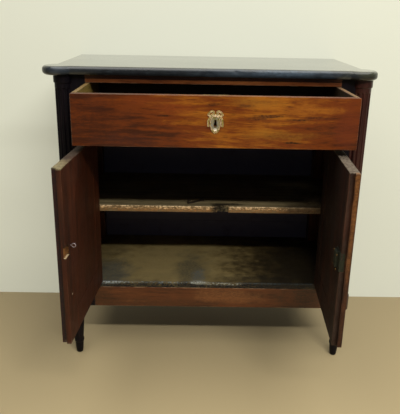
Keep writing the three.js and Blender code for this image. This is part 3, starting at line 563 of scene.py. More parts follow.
# The drawer's sides: ochre at the left, the right one darker with painted shade on its inner face, both with
# a paler top edge
for word, side in sides:
    low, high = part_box(f"drawer_side_{word}")
    edge = ((low.x + high.x) / 2, (low.y + high.y) / 2, high.z)
    within = (low.x - 2 * MM, edge[1], low.z)
    # Painted shade on the right side's inner face
    painted_inner_shade = ((within, (8 * MM, 0.9, 0.9), 1.6, "#241a12"),) if side > 0 else ()
    top = ((edge, (0.03, 0.9, 2.5 * MM), 1.0, "#7c6048" if side > 0 else "#6c5636"),)
    eased(f"drawer_side_{word}", timber("drawer oak", Y, 6.1 + side, None, painted_inner_shade + top), 1 * MM)

# The bottom board: dark front edge, bluish grey patches at the left, a dark band across, and painted shade
# making it darker to the right
low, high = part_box("bottom_board")
edge, top = low.y, high.z
eased("bottom_board", timber("old board", X, 2.2, None, (
    ((-0.110, 0.110, top), (0.25, 0.30, 0.02), 0.7, "#8a7a50", 0.75),
    # Painted shade towards the right
    ((0.330, 0.080, top), (0.24, 0.40, 0.02), 0.95, "#1c1811", 0.8),
    ((-0.330, 0.090, top), (0.09, 0.20, 0.02), 0.6, "#24261f"),
    ((-0.295, 0.020, top), (0.08, 0.12, 0.02), 0.7, "#3c484c", 0.1),
    ((-0.045, 0.070, top), (0.055, 0.15, 0.02), 0.85, "#262b2a"),
    ((-0.022, 0.010, top), (0.024, 0.07, 0.02), 0.6, "#55636a", 0.0),
    ((0.130, 0.010, top), (0.16, 0.03, 0.02), 0.6, "#1f1d17"),
    ((0.0, edge - 3 * MM, top - 10 * MM), (0.9, 12 * MM, 16 * MM), 1.4, "#101217"),
    ((-0.160, edge, top), (0.30, 6 * MM, 5 * MM), 1.4, "#7c8484", -1.0),
    ((0.230, edge, top), (0.20, 6 * MM, 5 * MM), 1.2, "#3e484c", -0.8),
    ((-0.280, edge, top), (0.05, 6 * MM, 7 * MM), 1.3, "#9aa4a4", -0.2),
    ((-0.015, edge + 4 * MM, top), (0.03, 9 * MM, 6 * MM), 1.2, "#a4a8a0", -0.3),
    ((0.050, edge, top - 4 * MM), (0.06, 4 * MM, 5 * MM), 1.5, "#8c8a7c", -0.6),
)), 1.6 * MM)

# The shelf's front edge is worn and knocked; its pale arris bands are partly wear and partly a painted
# highlight. It is darker at the notch and behind it, and its right end is painted in shade.
low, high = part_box("shelf")
edge, top = low.y, high.z
eased("shelf", timber("shelf board", X, 4.6, None, (
    ((0.0, edge - 2 * MM, top - 9 * MM), (0.9, 8 * MM, 20 * MM), 1.1, "#6e4c2c"),
    ((-0.1, edge - 2 * MM, top - 10 * MM), (0.40, 8 * MM, 6 * MM), 1.2, "#a07444", -0.4),
    # Pale bands along the upper arris: partly wear, partly a painted highlight
    ((-0.1, edge - 1 * MM, top - 5 * MM), (0.9, 4 * MM, 5 * MM), 1.6, "#d8b484", -0.9),
    ((0.0, edge, top), (0.9, 3 * MM, 3 * MM), 1.6, "#f0d4a8", -0.4),
    ((0.036, edge + 10 * MM, top - 6 * MM), (0.030, 0.026, 0.03), 1.4, "#15110e"),
    ((0.075, edge + 22 * MM, top), (0.040, 0.012, 0.02), 1.2, "#17130f"),
    # Painted shade over the right end
    ((0.35, edge, top - 6 * MM), (0.13, 0.2, 0.05), 1.1, "#2c2016"),
)), 1.6 * MM)

# The drawer front has a painted pool of light a little right of its middle, and painted shade over its left
# end
low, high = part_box("drawer_front")
painted_light_pool = (
    (low.x * 0.38 + high.x * 0.62, low.y, (low.z + high.z) / 2),
    0.36, 0.55, -0.28,
)
eased("drawer_front", timber("front veneer", X, 3.1, painted_light_pool, on_face(low.y, (
    # Painted shade over the left end
    (-0.290, 0.765, 0.10, 0.09, 0.7, "#34150a"),
    (-0.200, 0.727, 0.10, 0.02, 0.7, "#3a1a12"),
    (-0.166, 0.823, 0.05, 0.012, 0.7, "#682c0c"),
    (-0.080, 0.806, 0.05, 0.02, 0.7, "#74340e"),
    (0.089, 0.822, 0.07, 0.014, 0.7, "#84561a"),
    (0.235, 0.806, 0.08, 0.014, 0.8, "#8a5016"),
    (0.160, 0.745, 0.10, 0.014, 0.6, "#7c5418"),
    (0.330, 0.772, 0.035, 0.07, 0.8, "#5a2410"),
    (0.133, 0.790, 0.055, 5 * MM, 1.2, "#33150a"),
    (0.100, 0.785, 0.030, 5 * MM, 1.0, "#38180a"),
    (0.252, 0.787, 0.040, 5 * MM, 1.0, "#3a190c"),
    (0.205, 0.782, 0.030, 3 * MM, 1.2, "#2e1409"),
    (0.192, 0.727, 0.030, 3 * MM, 1.5, "#241004"),
    (0.004, 0.815, 0.020, 4 * MM, 1.1, "#3a1a08"),
    (0.078, 0.814, 0.022, 5 * MM, 0.8, "#43200e"),
    (-0.110, 0.787, 0.024, 3 * MM, 1.2, "#2e1206"),
    (-0.120, 0.742, 0.022, 4 * MM, 1.1, "#321608"),
    (0.285, 0.752, 0.040, 4 * MM, 1.0, "#3a1a0a"),
))), 0.8 * MM)

# Each door is veneered upright as one plank, and only its own outline is eased. Marks are given on the
# closed door, and go where the open door is.
door_low, door_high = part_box("left_door_hinge_stile")
DOOR_BACK = 26 * MM
marks_of = {
    -1: [
        ((0.337, 8 * MM, 0.470), (7 * MM, 8 * MM, 0.9), 1.1, "#121016"),
        ((0.300, DOOR_BACK, 0.640), (0.09, 0.02, 0.10), 0.4, "#553120"),
        # Painted shade along the inside near the free edge
        ((0.322, DOOR_BACK, 0.540), (0.03, 0.02, 0.22), 0.7, "#20100a"),
        ((0.338, DOOR_BACK, 0.256), (7 * MM, 0.02, 7 * MM), 0.7, "#7c6a58"),
        ((0.309, DOOR_BACK, 0.372), (2.6 * MM, 3 * MM, 3 * MM), 1.6, "#c8b89c"),
    ],
    1: [
        ((-0.330, 23 * MM, 0.470), (0.012, 7 * MM, 0.9), 0.6, "#42342c"),
        ((-0.342, 8 * MM, 0.610), (0.012, 7 * MM, 0.22), 0.9, "#7a4e26"),
        ((-0.342, 8 * MM, 0.400), (0.012, 7 * MM, 0.22), 0.5, "#5e3a24"),
        ((-0.341, 6 * MM, 0.480), (3 * MM, 3 * MM, 3 * MM), 1.3, "#a09078"),
    ],
}
painted_shade_of = {}
for word, side in sides:
    closed_again = door_at[side].inverted()
    free_edge = max(abs((closed_again @ corner).x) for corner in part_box(f"{word}_door_meeting_stile"))

    def shown(middle):
        at = closed_again @ middle
        at_end = min(abs(at.z - door_low.z), abs(at.z - door_high.z)) < 1 * MM
        return at_end or abs(at.x) > free_edge - 16 * MM or abs(at.x) < 3 * MM

    middle_at = tuple(door_at[side] @ Vector((-side * 0.17, DOOR_BACK, 0.47)))
    # Painted shade: the right door is painted darker than the left
    painted_shade_of[side] = (middle_at, 0.6, 0.0, -0.1 if side < 0 else -0.4)
    # The doors' tops: the left one painted dark as shade, with its free end paler; the right one paler
    face_tints = "#3c3026" if side < 0 else "#6c6254"
    marks = (((0, 0, door_high.z + 1 * MM), (9, 9, 3.5 * MM), 1.6, face_tints, 0.0),)
    if side < 0:
        end = door_at[side] @ Vector((0.35, 10 * MM, door_high.z + 1 * MM))
        marks += ((tuple(end), (9, 0.08, 3.5 * MM), 1.6, "#807656", 0.2),)
    marks += tuple(
        (tuple(door_at[side] @ Vector(centre)), (reach[1], reach[0], reach[2]), amount, patch_tint)
        for centre, reach, amount, patch_tint in marks_of[side]
    )
    wood = timber("door inside", Z, 5.3 + side, painted_shade_of[side], marks)
    for part in ("hinge_stile", "meeting_stile", "top_rail", "bottom_rail", "panel"):
        eased(f"{word}_door_{part}", wood, 0.5 * MM, shown)

own_metal = {
    "left_door_keeper": KEEPER_BRASS, "right_door_lock_case": GREEN_BRASS, "left_door_ring": RUBBED_IRON,
}
metal_of = {"aged_brass": BRASS, "dark_iron": IRON}
for node, slot in slot_of.items():
    material = own_metal.get(node) or metal_of.get(slot)
    if material:
        eased(node, material, 0.25 * MM)


# Keyhole plates: an oval dish with a raised rim; the drawer's also has a ribbon bow. They are drawn flat,
# with a across, h up and out toward the viewer, and then put in place.
PLATE_HALF_WIDTH = 13 * MM
PLATE_HALF_HEIGHT = 20 * MM
KEY_HEAD = 2.9 * MM
KEY_RISE = 6.5 * MM
KEY_NECK = 1.7 * MM
KEY_FOOT = 4 * MM
PLATE_AROUND = 112


def keyhole_reach(angle):
    """How far the keyhole reaches from its middle at an angle."""
    step = 0.05 * MM
    reach = step
    while reach < PLATE_HALF_WIDTH:
        a, h = reach * cos(angle), reach * sin(angle)
        slope = (KEY_RISE - h) / (2 * KEY_RISE)
        in_head = hypot(a, h - KEY_RISE) < KEY_HEAD
        in_foot = abs(h) < KEY_RISE and abs(a) < KEY_NECK + (KEY_FOOT - KEY_NECK) * slope
        if not in_head and not in_foot:
            break
        reach += step
    return reach


def oval_dish(shape, crest, field):
    rings = [("key", 0.0, 0.0), ("key", 0.0, 0.9), ("key", 0.5, 1.15)]
    rings += [("oval", share, out) for share, out in (
        (0.60, 1.25), (0.68, 1.15), (0.75, 0.85), (0.78, 0.8), (0.81, 1.3), (0.85, 2.2), (0.89, 2.45),
        (0.93, 2.3), (0.97, 1.5), (1.0, 0.8), (1.0, 0.0),
    )]
    turns = [2 * pi * i / PLATE_AROUND for i in range(PLATE_AROUND)]
    reaches = [keyhole_reach(angle) for angle in turns]
    made = []
    for kind, size, out in rings:
        ring = []
        for i, angle in enumerate(turns):
            if kind == "key":
                around = 2 if size else 0
                near = [reaches[(i + k) % PLATE_AROUND] for k in range(-around, around + 1)]
                a = (max(near) + size * MM) * cos(angle)
                h = (max(near) + size * MM) * sin(angle)
            else:
                a = PLATE_HALF_WIDTH * size * cos(angle)
                h = PLATE_HALF_HEIGHT * size * sin(angle)
            notch = 1 - 0.16 * (0.5 - 0.5 * cos(28 * angle)) * (out > 1.4)
            point = shape.verts.new((a, -out * notch * MM, h))
            point[crest] = 1.0 if out > 2.25 else 0.0
            point[field] = 1.0 if kind == "key" or size < 0.79 else 0.0
            ring.append(point)
        made.append(ring)
    skinned(shape, made, True)


RIBBON_SECTION = (
    (-0.5, 0.0), (-0.5, 0.55), (-0.36, 1.0), (-0.1, 0.6), (0.1, 0.6), (0.36, 1.0), (0.5, 0.55), (0.5, 0.0),
)


def dot(shape, a, h, out, crest, is_crest):
    """A point with its place in millimetres."""
    point = shape.verts.new((a * MM, -out * MM, h * MM))
    point[crest] = float(is_crest)
    return point


def ribbon(shape, crest, path, width, height, closed=False, folds=0.0):
    """A hollow-faced ribbon along a path of a and h points in millimetres."""
    rings = []
    count = len(path)
    for i, (a, h) in enumerate(path):
        before = path[i - 1] if closed or i else path[i]
        after = path[(i + 1) % count] if closed or i < count - 1 else path[i]
        along = Vector((after[0] - before[0], after[1] - before[1])).normalized()
        rise = height * (1 - folds * (0.5 + 0.5 * sin(i * 1.1)))
        spread = [(across * width, out) for across, out in RIBBON_SECTION]
        rings.append([
            dot(shape, a - along.y * wide, h + along.x * wide, out * rise, crest, out == 1.0)
            for wide, out in spread
        ])
    skinned(shape, rings, closed)


DOME_AROUND = 28


def dome(shape, crest, centre, half, height):
    """A flat-backed oval dome; sizes in millimetres."""
    rings = []
    for share, out in ((1.0, 0.0), (1.0, 0.45), (0.86, 0.8), (0.6, 0.97), (0.25, 1.0)):
        ring = []
        for i in range(DOME_AROUND):
            angle = 2 * pi * i / DOME_AROUND
            a = centre[0] + half[0] * share * cos(angle)
            h = centre[1] + half[1] * share * sin(angle)
            ring.append(dot(shape, a, h, out * height, crest, out > 0.9))
        rings.append(ring)
    skinned(shape, rings)


def spline(points, steps, closed=False):
    """A smooth path through points."""
    made = []
    last = len(points) - 1
    for i in range(last + closed):
        near = range(i - 1, i + 3)
        corners = [points[k % (last + 1)] if closed else points[min(max(k, 0), last)] for k in near]
        for k in range(steps):
            t = k / steps
            made.append(tuple(
                0.5 * (2 * b + (c - a) * t + (2 * a - 5 * b + 4 * c - d) * t ** 2
                       + (3 * b - a - 3 * c + d) * t ** 3)
                for a, b, c, d in zip(*corners)
            ))
    return made if closed else made + [points[-1]]


def keyhole_plate(name, node, place, has_bow):
    shape = bmesh.new()
    crest = shape.verts.layers.float.new("crest")
    field = shape.verts.layers.float.new("field")
    oval_dish(shape, crest, field)
    if has_bow:
        for side in (-1, 1):
            dip = 0.8 * (side > 0)
            loop = [(3.6, 26.6), (9.4, 29.4), (17.3, 21.6), (10.2, 19.6)]
            loop = [(side * a, h - dip * (a > 15)) for a, h in loop]
            ribbon(shape, crest, spline(loop, 7, True), 4.2, 2.5, True, 0.2)
            tail = []
            for i in range(17):
                angle = radians(66 - 85 * i / 16)
                wave = 0.5 * sin(i * 0.9 + side)
                tail.append((side * (17.0 + wave) * cos(angle), 22.6 * sin(angle)))
            ribbon(shape, crest, tail, 5.4, 2.3, False, 0.3)
            foot = [(side * 9.6, -11.0), (side * 7.4, -15.6), (side * 4.2, -19.4), (side * 0.6, -22.0)]
            ribbon(shape, crest, foot, 3.8, 2.7)
            dome(shape, crest, (side * 6.3, 18.2), (3.4, 3.2), 2.0)
        dome(shape, crest, (0, 18.6), (4.4, 4.4), 2.5)
    bmesh.ops.transform(shape, matrix=place, verts=shape.verts)
    bmesh.ops.recalc_face_normals(shape, faces=shape.faces)
    finished(name, shape, GILT, node)


plate_place = Matrix.Translation((plate_middle, plate_high.y, plate_z))
keyhole_plate("drawer_keyhole_plate", "drawer_escutcheon", plate_place, True)
door_plate_place = door_at[1] @ Matrix.Translation((-309.75 * MM, 2.7 * MM, 472 * MM))
keyhole_plate("door_keyhole_plate", "right_door_escutcheon", door_plate_place, False)


# Stone top: rings of its outline, moved in step by step, round over the edge and nick it here and there
LOBE_RADIUS = 45 * MM
LOBE_TO_FRONT = 32 * MM
LOBE_TO_SIDE = 19 * MM
ROUNDING = 10 * MM


def line(start, end, count):
    """Evenly spaced points from the start to just before the end."""
    return [tuple(a + (b - a) * i / count for a, b in zip(start, end)) for i in range(count)]


def stone_outline(inset):
    """The slab's edge as points in x and y, with every stretch moved in by inset."""
    radius = LOBE_RADIUS - inset
    centre_x = stone_high.x - LOBE_RADIUS
    centre_y = stone_low.y + LOBE_RADIUS
    rise = LOBE_TO_FRONT - inset
    out = LOBE_TO_SIDE - inset
    start = pi + asin(rise / radius)
    end = 2 * pi + acos(out / radius)
    turns = [start + (end - start) * i / 32 for i in range(33)]
    right = [(centre_x + radius * cos(t), centre_y + radius * sin(t)) for t in turns]
    left = [(-x, y) for x, y in reversed(right)]
    back = stone_high.y - inset
    ends = (right[-1], (centre_x + out, back), (-centre_x - out, back), left[0])
    points = right[:-1]
    for first, second, count in zip(ends, ends[1:], (60, 90, 60)):
        points += line(first, second, count)
    return points + left[:-1] + line(left[-1], right[0], 130)


def stone_slab():
    shape = bmesh.new()
    steps = 7
    turns = [pi / 2 * i / (steps - 1) for i in range(steps)]
    levels = [(ROUNDING * (1 - sin(t)), ROUNDING * (1 - cos(t))) for t in turns]
    height = stone_high.z - stone_low.z
    levels += [(inset, height - up) for inset, up in reversed(levels)]
    middle_y = (stone_low.y + stone_high.y) / 2
    rings = []
    for inset, up in levels:
        ring = []
        for x, y in stone_outline(inset):
            at = Vector((x, y, stone_low.z + up))
            nick = max(0.0, noise.noise(at * 55) + 0.35 * noise.noise(at * 190) - 0.42)
            wave = 0.35 * MM * (noise.noise(at * 22) - 1)
            edge = 1 - inset / ROUNDING
            inward = (Vector((0, middle_y, at.z)) - at).normalized()
            ring.append(shape.verts.new(at + inward * edge * (7 * MM * nick - wave)))
        rings.append(ring)
    skinned(shape, rings)
    return shape


finished("stone_slab", stone_slab(), STONE, "stone_top")


# Turned pieces
def turned(profile, centre, around):
    """A turned shape from radius and height pairs, bottom to top, closed by a face at each end."""
    shape = bmesh.new()
    turns = [2 * pi * i / around for i in range(around)]
    rings = []
    for radius, z in profile:
        at = [(centre[0] + radius * cos(t), centre[1] + radius * sin(t), z) for t in turns]
        rings.append([shape.verts.new(point) for point in at])
    skinned(shape, rings)
    return shape


def coat(geometry, given):
    """Ends a geometry tree: plain geometry with the given material."""
    plain = put("GeometryNodeRealizeInstances", {"Geometry": geometry[0]})
    coated = put("GeometryNodeSetMaterial", {"Geometry": plain[0], "Material": given["Material"]})
    put("NodeGroupOutput", {0: coated[0]})


# Columns: a turned blank, fluted by the tree wherever it stands clear of the post
def fluting_tree():
    tree, given = new_group("fluting", [
        ("Blank", "Geometry"), ("Axis", "Vector"), ("Bay Direction", "Vector"), ("Bay Reach", "Float"),
        ("Flutes", "Float", 12), ("Turn", "Float"), ("Depth", "Float"), ("Half Width", "Float", 4.6 * MM),
        ("Radius", "Float", 23.5 * MM), ("Bottom", "Float"), ("Top", "Float", 1), ("Material", "Material"),
    ], [("Column", "Geometry")])
    half = given["Half Width"]
    here = put("GeometryNodeInputPosition", tree=tree)[0]
    arm = split(vec("SUBTRACT", here, given["Axis"]))
    pitch = calc("DIVIDE", 2 * pi, given["Flutes"])
    count = (calc("ARCTAN2", arm[1], arm[0]) - given["Turn"]) / pitch
    nearest = calc("ROUND", count)
    aside = (count - nearest) * pitch * given["Radius"] / half
    above = arm[2] - (given["Top"] - half)
    below = given["Bottom"] + half - arm[2]
    past = calc("MAXIMUM", calc("MAXIMUM", above, below), 0.0) / half
    hollow = calc("SQRT", calc("MAXIMUM", 1.0 - (aside * aside + past * past), 0.0))
    middle = nearest * pitch + given["Turn"]
    flute_way = joined(x=calc("COSINE", middle), y=calc("SINE", middle))
    facing = vec("DOT_PRODUCT", flute_way, given["Bay Direction"], output="Value")
    depth = hollow * given["Depth"] * calc("LESS_THAN", facing, given["Bay Reach"])
    outward = vec("NORMALIZE", joined(x=arm[0], y=arm[1]))
    shift = put("ShaderNodeVectorMath", {0: outward, "Scale": depth * -1.0}, operation="SCALE")[0]
    coat(put("GeometryNodeSetPosition", {"Geometry": given["Blank"], "Offset": shift}), given)
    return tree


def grown(name, blank, tree, values):
    """Runs a geometry tree on a blank and returns its plain mesh as a bmesh."""
    mesh = bpy.data.meshes.new(name)
    blank.to_mesh(mesh)
    blank.free()
    holder = linked(name, mesh)
    modifier = holder.modifiers.new(tree.name, "NODES")
    modifier.node_group = tree
    for item in tree.interface.items_tree:
        if item.name in values:
            modifier[item.identifier] = values[item.name]
    seen = holder.evaluated_get(bpy.context.evaluated_depsgraph_get())
    plain = bpy.data.meshes.new_from_object(seen)
    shape = bmesh.new()
    shape.from_mesh(plain)
    bpy.data.objects.remove(holder)
    bpy.data.meshes.remove(plain)
    return shape


FLUTES = 12
AROUND_A_FLUTE = 20
FLUTE_DEPTH = 3.2 * MM
BAY_REACH = 0.3
SHAFT = 23.5 * MM
COLLAR = 26 * MM
BASE_HEIGHT = 50 * MM
CAPITAL_HEIGHT = 22 * MM
FLUTE_MARGIN = 12 * MM
FLUTE_HALF = 4.4 * MM
fluting = fluting_tree()
for word, side in sides:
    low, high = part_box(f"front_column_{word}")
    axis = ((low.x + high.x) / 2, (low.y + high.y) / 2, 0)
    base_top = low.z + BASE_HEIGHT
    cap_bottom = high.z - CAPITAL_HEIGHT
    flute_low = base_top + FLUTE_MARGIN
    flute_high = cap_bottom - FLUTE_MARGIN
    ends = [i * FLUTE_HALF / 6 for i in range(9)]
    rows = [flute_low - 0.4 * MM + e for e in ends] + [flute_high + 0.4 * MM - e for e in reversed(ends)]
    between = [flute_low + (flute_high - flute_low) * i / 10 for i in range(1, 10)]
    foot = [
        (COLLAR, -0.8, low.z, 0), (COLLAR, 0, low.z, 0.8), (COLLAR, 0, base_top, -6),
        (COLLAR, -0.2, base_top, -4.6), (COLLAR, -0.9, base_top, -3.6), (SHAFT, 0.9, base_top, -2),
        (SHAFT, 0.2, base_top, -1), (SHAFT, 0, base_top, 0),
    ]
    cap = [
        (SHAFT, 0, cap_bottom, 0), (SHAFT, 0.3, cap_bottom, 0.6), (COLLAR, -0.7, cap_bottom, 1.2),
        (COLLAR, 0, cap_bottom, 2.4), (COLLAR, 0, high.z, -0.8), (COLLAR, -0.8, high.z, 0),
    ]
    shaft = [(SHAFT, 0, z, 0) for z in sorted(rows + between)]
    profile = [(radius + out * MM, z + up * MM) for radius, out, z, up in foot + shaft + cap]
    # The left column in painted shade, the right one in painted light
    polish = timber("dark polish" if side < 0 else "polish in painted light", Z, 7.7 + side)
    shape = grown(f"column_{word}", turned(profile, axis, FLUTES * AROUND_A_FLUTE), fluting, {
        "Axis": axis, "Bay Direction": Vector((-side, 1, 0)).normalized(), "Bay Reach": BAY_REACH,
        "Flutes": float(FLUTES), "Turn": pi / FLUTES, "Depth": FLUTE_DEPTH, "Half Width": FLUTE_HALF,
        "Radius": SHAFT, "Bottom": flute_low, "Top": flute_high, "Material": polish,
    })
    finished(f"fluted_column_{word}", shape, polish, f"front_column_{word}")


# Mouldings: a closed strip in across, side number and height, bent into a mitred frame by the tree
def frame_tree():
    tree, given = new_group("mitred frame", [
        ("Blank", "Geometry"), ("Half Width", "Float", 0.1), ("Half Height", "Float", 0.15),
        ("Middle", "Vector"), ("Material", "Material"),
    ], [("Frame", "Geometry")])
    here = split(put("GeometryNodeInputPosition", tree=tree)[0])
    spots = []
    for half, pivot in (("Half Width", 1.5), ("Half Height", 2.5)):
        is_far = calc("LESS_THAN", abs(here[1] - pivot), 1.0)
        spots.append((is_far * 2.0 - 1.0) * (given[half] - here[0]))
    flat = joined(x=spots[0], y=here[2] * -1.0, z=spots[1])
    at = vec("ADD", flat, given["Middle"])
    coat(put("GeometryNodeSetPosition", {"Geometry": given["Blank"], "Position": at}), given)
    return tree


def closed_box(node, side):
    """A door node's box on the closed door."""
    back = door_at[side].inverted()
    points = [back @ vertex.co for vertex in nodes[node].data.vertices]
    return [Vector([pick(point[i] for point in points) for i in range(3)]) for pick in (min, max)]


OGEE = (
    (0.1, -0.3), (0.1, 7.6), (1.8, 7.6), (2.2, 6.8), (3.6, 6.6), (5.2, 5.8), (6.4, 4.4), (7.6, 3.0),
    (9.2, 2.2), (10.6, 2.0), (11.0, 1.2), (12.0, 1.1), (12.4, 0.7), (12.4, -0.3),
)
framing = frame_tree()
for word, side in sides:
    parts = ("hinge_stile", "meeting_stile", "bottom_rail", "top_rail")
    hinge, meeting, bottom, top = [closed_box(f"{word}_door_{part}", side) for part in parts]
    across = sorted((hinge, meeting), key=lambda span: span[0].x)
    left, right = across[0][1].x, across[1][0].x
    face = closed_box(f"{word}_door_panel", side)[0].y
    strip = bmesh.new()
    skinned(strip, [[strip.verts.new((s * MM, k, t * MM)) for s, t in OGEE] for k in range(4)], True)
    # Each moulding takes its door's painted shade
    polish = timber("door inside", Z, 7.9 + side, painted_shade_of[side])
    shape = grown(f"moulding_{word}", strip, framing, {
        "Half Width": (right - left) / 2, "Half Height": (top[0].z - bottom[1].z) / 2,
        "Middle": ((left + right) / 2, face, (top[0].z + bottom[1].z) / 2), "Material": polish,
    })
    bmesh.ops.transform(shape, matrix=door_at[side], verts=shape.verts)
    bmesh.ops.recalc_face_normals(shape, faces=shape.faces)
    slot = slot_of[f"{word}_door_panel"]
    finished(f"{word}_door_moulding", shape, polish, body=f"{word}_door")


# Screws: slotted heads set on points along each point's own way, each turned differently
def screw_tree():
    tree, given = new_group("screw heads", [
        ("Places", "Geometry"), ("Radius", "Float", 2.6 * MM), ("Height", "Float", 0.8 * MM),
        ("Slot Width", "Float", 0.8 * MM), ("Slot Depth", "Float", 0.5 * MM), ("Seed", "Int"),
        ("Material", "Material"),
    ], [("Heads", "Geometry")])
    radius, height = given["Radius"], given["Height"]
    disc = put("GeometryNodeMeshCylinder", {"Vertices": 20, "Radius": radius, "Depth": height})
    size = joined(x=radius * 3.0, y=given["Slot Width"], z=given["Slot Depth"] * 2.0)
    bar = put("GeometryNodeMeshCube", {"Size": size})
    bar = put("GeometryNodeTransform", {"Geometry": bar[0], "Translation": joined(z=height * 0.5)})
    head = put("GeometryNodeMeshBoolean", {"Mesh 1": disc[0], "Mesh 2": bar[0]}, operation="DIFFERENCE")
    way = put("GeometryNodeInputNamedAttribute", {"Name": "way"}, tree, data_type="FLOAT_VECTOR")
    upright = put("FunctionNodeAlignRotationToVector", {"Vector": way[0]}, axis="Z")
    angle = put("FunctionNodeRandomValue", {2: 0.0, 3: pi, 8: given["Seed"]}, data_type="FLOAT")
    spin = put("FunctionNodeAxisAngleToRotation", {"Axis": Z, "Angle": angle[1]})
    turn = put("FunctionNodeRotateRotation", {
        "Rotation": upright[0], "Rotate By": spin[0],
    }, rotation_space="LOCAL")
    coat(put("GeometryNodeInstanceOnPoints", {
        "Points": given["Places"], "Instance": head[0], "Rotation": turn[0],
    }), given)
    return tree


HEAD_HEIGHT = 0.8 * MM
PROUD = 0.15 * MM
screwing = screw_tree()


def screws(name, body, places, seed, radius=2.4 * MM, slot="aged_brass"):
    """Screw heads that stand just proud of the faces at the given places."""
    points = bmesh.new()
    way = points.verts.layers.float_vector.new("way")
    for at, facing in places:
        points.verts.new(Vector(at) + Vector(facing) * (PROUD - HEAD_HEIGHT / 2))[way] = facing
    shape = grown(name, points, screwing, {
        "Radius": radius, "Height": HEAD_HEIGHT, "Slot Width": radius * 0.3, "Slot Depth": 0.5 * MM,
        "Seed": seed, "Material": metal_of[slot],
    })
    finished(name, shape, metal_of[slot], body=body)


LEAF_FROM_AXIS = 0.45 * MM
LEAF_MIDDLE = 12 * MM
on_posts = []
for word, side in sides:
    axis = Vector(joint_of[f"{word}_door_hinge"]["pos_m"])
    on_door = []
    for place in ("lower", "upper"):
        low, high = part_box(f"{word}_{place}_hinge_fixed")
        for step in (-20, 0, 20):
            z = (low.z + high.z) / 2 + step * MM
            on_posts.append(((axis.x + side * LEAF_FROM_AXIS, axis.y + LEAF_MIDDLE, z), (-side, 0, 0)))
            at = door_at[side] @ Vector((-side * LEAF_FROM_AXIS, LEAF_MIDDLE, z))
            on_door.append((at, door_at[side].to_3x3() @ Vector((side, 0, 0))))
    if side > 0:
        low, high = closed_box("right_door_lock_case", side)
        for x in (low.x + 5 * MM, high.x - 5 * MM):
            for z in (low.z + 5 * MM, high.z - 5 * MM):
                at = door_at[side] @ Vector((x, high.y, z))
                on_door.append((at, door_at[side].to_3x3() @ Vector(Y)))
    screws(f"{word}_door_screws", f"{word}_door", on_door, 11 + side)
screws("post_hinge_screws", "carcass", on_posts, 5)
low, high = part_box("drawer_lock_case")
corners = [(x, z) for x in (low.x + 6 * MM, high.x - 6 * MM) for z in (low.z + 6 * MM, high.z - 6 * MM)]
on_lock = [((x, high.y, z), Y) for x, z in corners]
screws("drawer_lock_screws", "drawer", on_lock, 3)
lower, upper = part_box("back_board_lower"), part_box("back_board_upper")
back = upper[1].y
span = upper[1].x - upper[0].x
on_back = [
    ((upper[0].x + span * (i + 0.5) / 8, back, z), Y)
    for i in range(8) for z in (lower[0].z + 32 * MM, upper[1].z - 10 * MM)
]
on_back += [
    ((x, back, lower[1].z + (upper[1].z - lower[1].z) * (i + 0.5) / 5), Y)
    for i in range(5) for x in (upper[0].x + 7 * MM, upper[1].x - 7 * MM)
]
screws("back_board_screws", "carcass", on_back, 7, 3 * MM, "dark_iron")


# Feet, with an outline of radius and height in millimetres
FOOT_AROUND = 72
foot_outline = [
    (9, 0.6), (10.2, 4), (11.6, 16), (12.6, 28), (13, 36), (14.2, 39), (14.9, 42), (14.9, 45),
    (14.4, 49), (13.6, 52), (14.6, 66), (16.4, 89), (17.6, 110), (18.3, 132), (18.2, 142),
    (17.6, 148), (18.4, 151.5), (20.2, 154), (21, 158.5), (21, 167.2),
]
for place in ("front", "rear"):
    for word, side in sides:
        node = f"{place}_foot_{word}"
        low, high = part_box(node)
        centre = ((low.x + high.x) / 2, (low.y + high.y) / 2)
        profile = [(7.6 * MM, 0.0)] + [(r * MM, z * MM) for r, z in spline(foot_outline, 4)]
        profile += [(20.4 * MM, 168 * MM), (7 * MM, 168 * MM), (7 * MM, high.z)]
        # The feet take the polish darkened as painted shade
        polish = timber("dark polish", Z, 9.1 + side + (place == "rear") * 0.4)
        finished(f"turned_{node}", turned(profile, centre, FOOT_AROUND), polish, node)


# Floor and backdrop
def sheet_of(name, corners, material):
    mesh = bpy.data.meshes.new(name)
    mesh.from_pydata(corners, [], [(0, 1, 2, 3)])
    mesh.materials.append(material)
    made = linked(name, mesh)
    return made


def backdrop_material():
    """Pale wall that is seen only from its front, and looks lit more evenly than the lamps light it."""
    material = new_material("backdrop")
    tree = material.node_tree
    lit = put("ShaderNodeBsdfDiffuse", {"Color": "#dcdfcf"}, tree)
    even = put("ShaderNodeEmission", {"Color": "#e0dfc8"}, tree)
    ray = put("ShaderNodeLightPath", tree=tree)
    evened = calc("MAXIMUM", ray["Is Camera Ray"], ray["Is Glossy Ray"]) * 0.4
    plain = put("ShaderNodeMixShader", {0: evened, 1: lit[0], 2: even[0]})
    clear = put("ShaderNodeBsdfTransparent", tree=tree)
    behind = put("ShaderNodeNewGeometry", tree=tree)["Backfacing"]
    return shaded(material, {0: behind, 1: plain[0], 2: clear[0]}, "ShaderNodeMixShader")


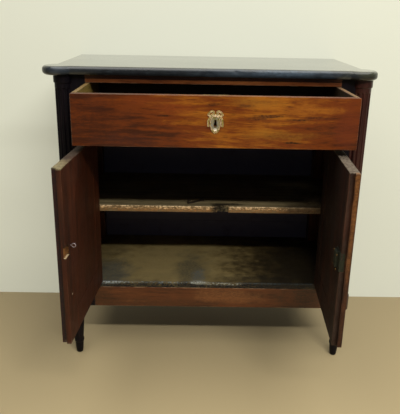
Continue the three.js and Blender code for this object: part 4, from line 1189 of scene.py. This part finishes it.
REACH = 12
WALL_Y = 376 * MM
WALL_HEIGHT = 6
sheet_of(
    "floor", [(-REACH, -REACH, 0), (REACH, -REACH, 0), (REACH, REACH, 0), (-REACH, REACH, 0)],
    shaded(new_material("floor"), {"Base Color": "#ad9c76", "Roughness": 0.6}),
)
backdrop = sheet_of("backdrop", [
    (-REACH, WALL_Y, 0), (REACH, WALL_Y, 0), (REACH, WALL_Y, WALL_HEIGHT), (-REACH, WALL_Y, WALL_HEIGHT),
], backdrop_material())
backdrop.visible_diffuse = False
backdrop.visible_shadow = False

# Camera, at the photograph's place and angle
PITCH, YAW, ROLL = 0.3319, 0.0122, 0.0192
forward = Vector((sin(YAW) * cos(PITCH), cos(YAW) * cos(PITCH), -sin(PITCH)))
level = Vector((cos(YAW), -sin(YAW), 0))
upright = level.cross(forward)
right = level * cos(ROLL) + upright * sin(ROLL)
up = upright * cos(ROLL) - level * sin(ROLL)
view = bpy.data.cameras.new("view")
view.sensor_width = 36
view.lens = 49.85
camera = linked("view", view)
camera.matrix_world = Matrix((right, up, -forward)).transposed().to_4x4()
camera.matrix_world.translation = (-0.0400, -1.5790, 1.0261)
scene.camera = camera


# Light: a soft lamp in front at the right, a wide one above, and an even pale surround
def soft_lamp(name, at, toward, size, power, tint):
    data = bpy.data.lights.new(name, "AREA")
    data.shape = "RECTANGLE"
    data.size, data.size_y = size
    data.energy = power
    data.color = colour(tint)[:3]
    lamp = linked(name, data)
    lamp.location = at
    lamp.rotation_euler = (Vector(toward) - Vector(at)).to_track_quat("-Z", "Y").to_euler()
    return lamp


front_lamp = soft_lamp("front lamp", (0.75, -2.32, 2.42), (0.75, 0, 0.5), (1.5, 0.12), 66, "#fffdfa")
front_lamp.visible_glossy = False
soft_lamp("ceiling lamp", (0.3, -1.25, 3.0), (0.3, -1.25, 0), (4.2, 3.1), 108, "#fffcf6")

world = bpy.data.worlds.new("surround")
world.use_nodes = True
world.node_tree.nodes.clear()
surround = put("ShaderNodeBackground", {"Color": "#f0f0f0", "Strength": 0.14}, world.node_tree)
put("ShaderNodeOutputWorld", {"Surface": surround[0]})
scene.world = world
scene.view_settings.view_transform = "Standard"
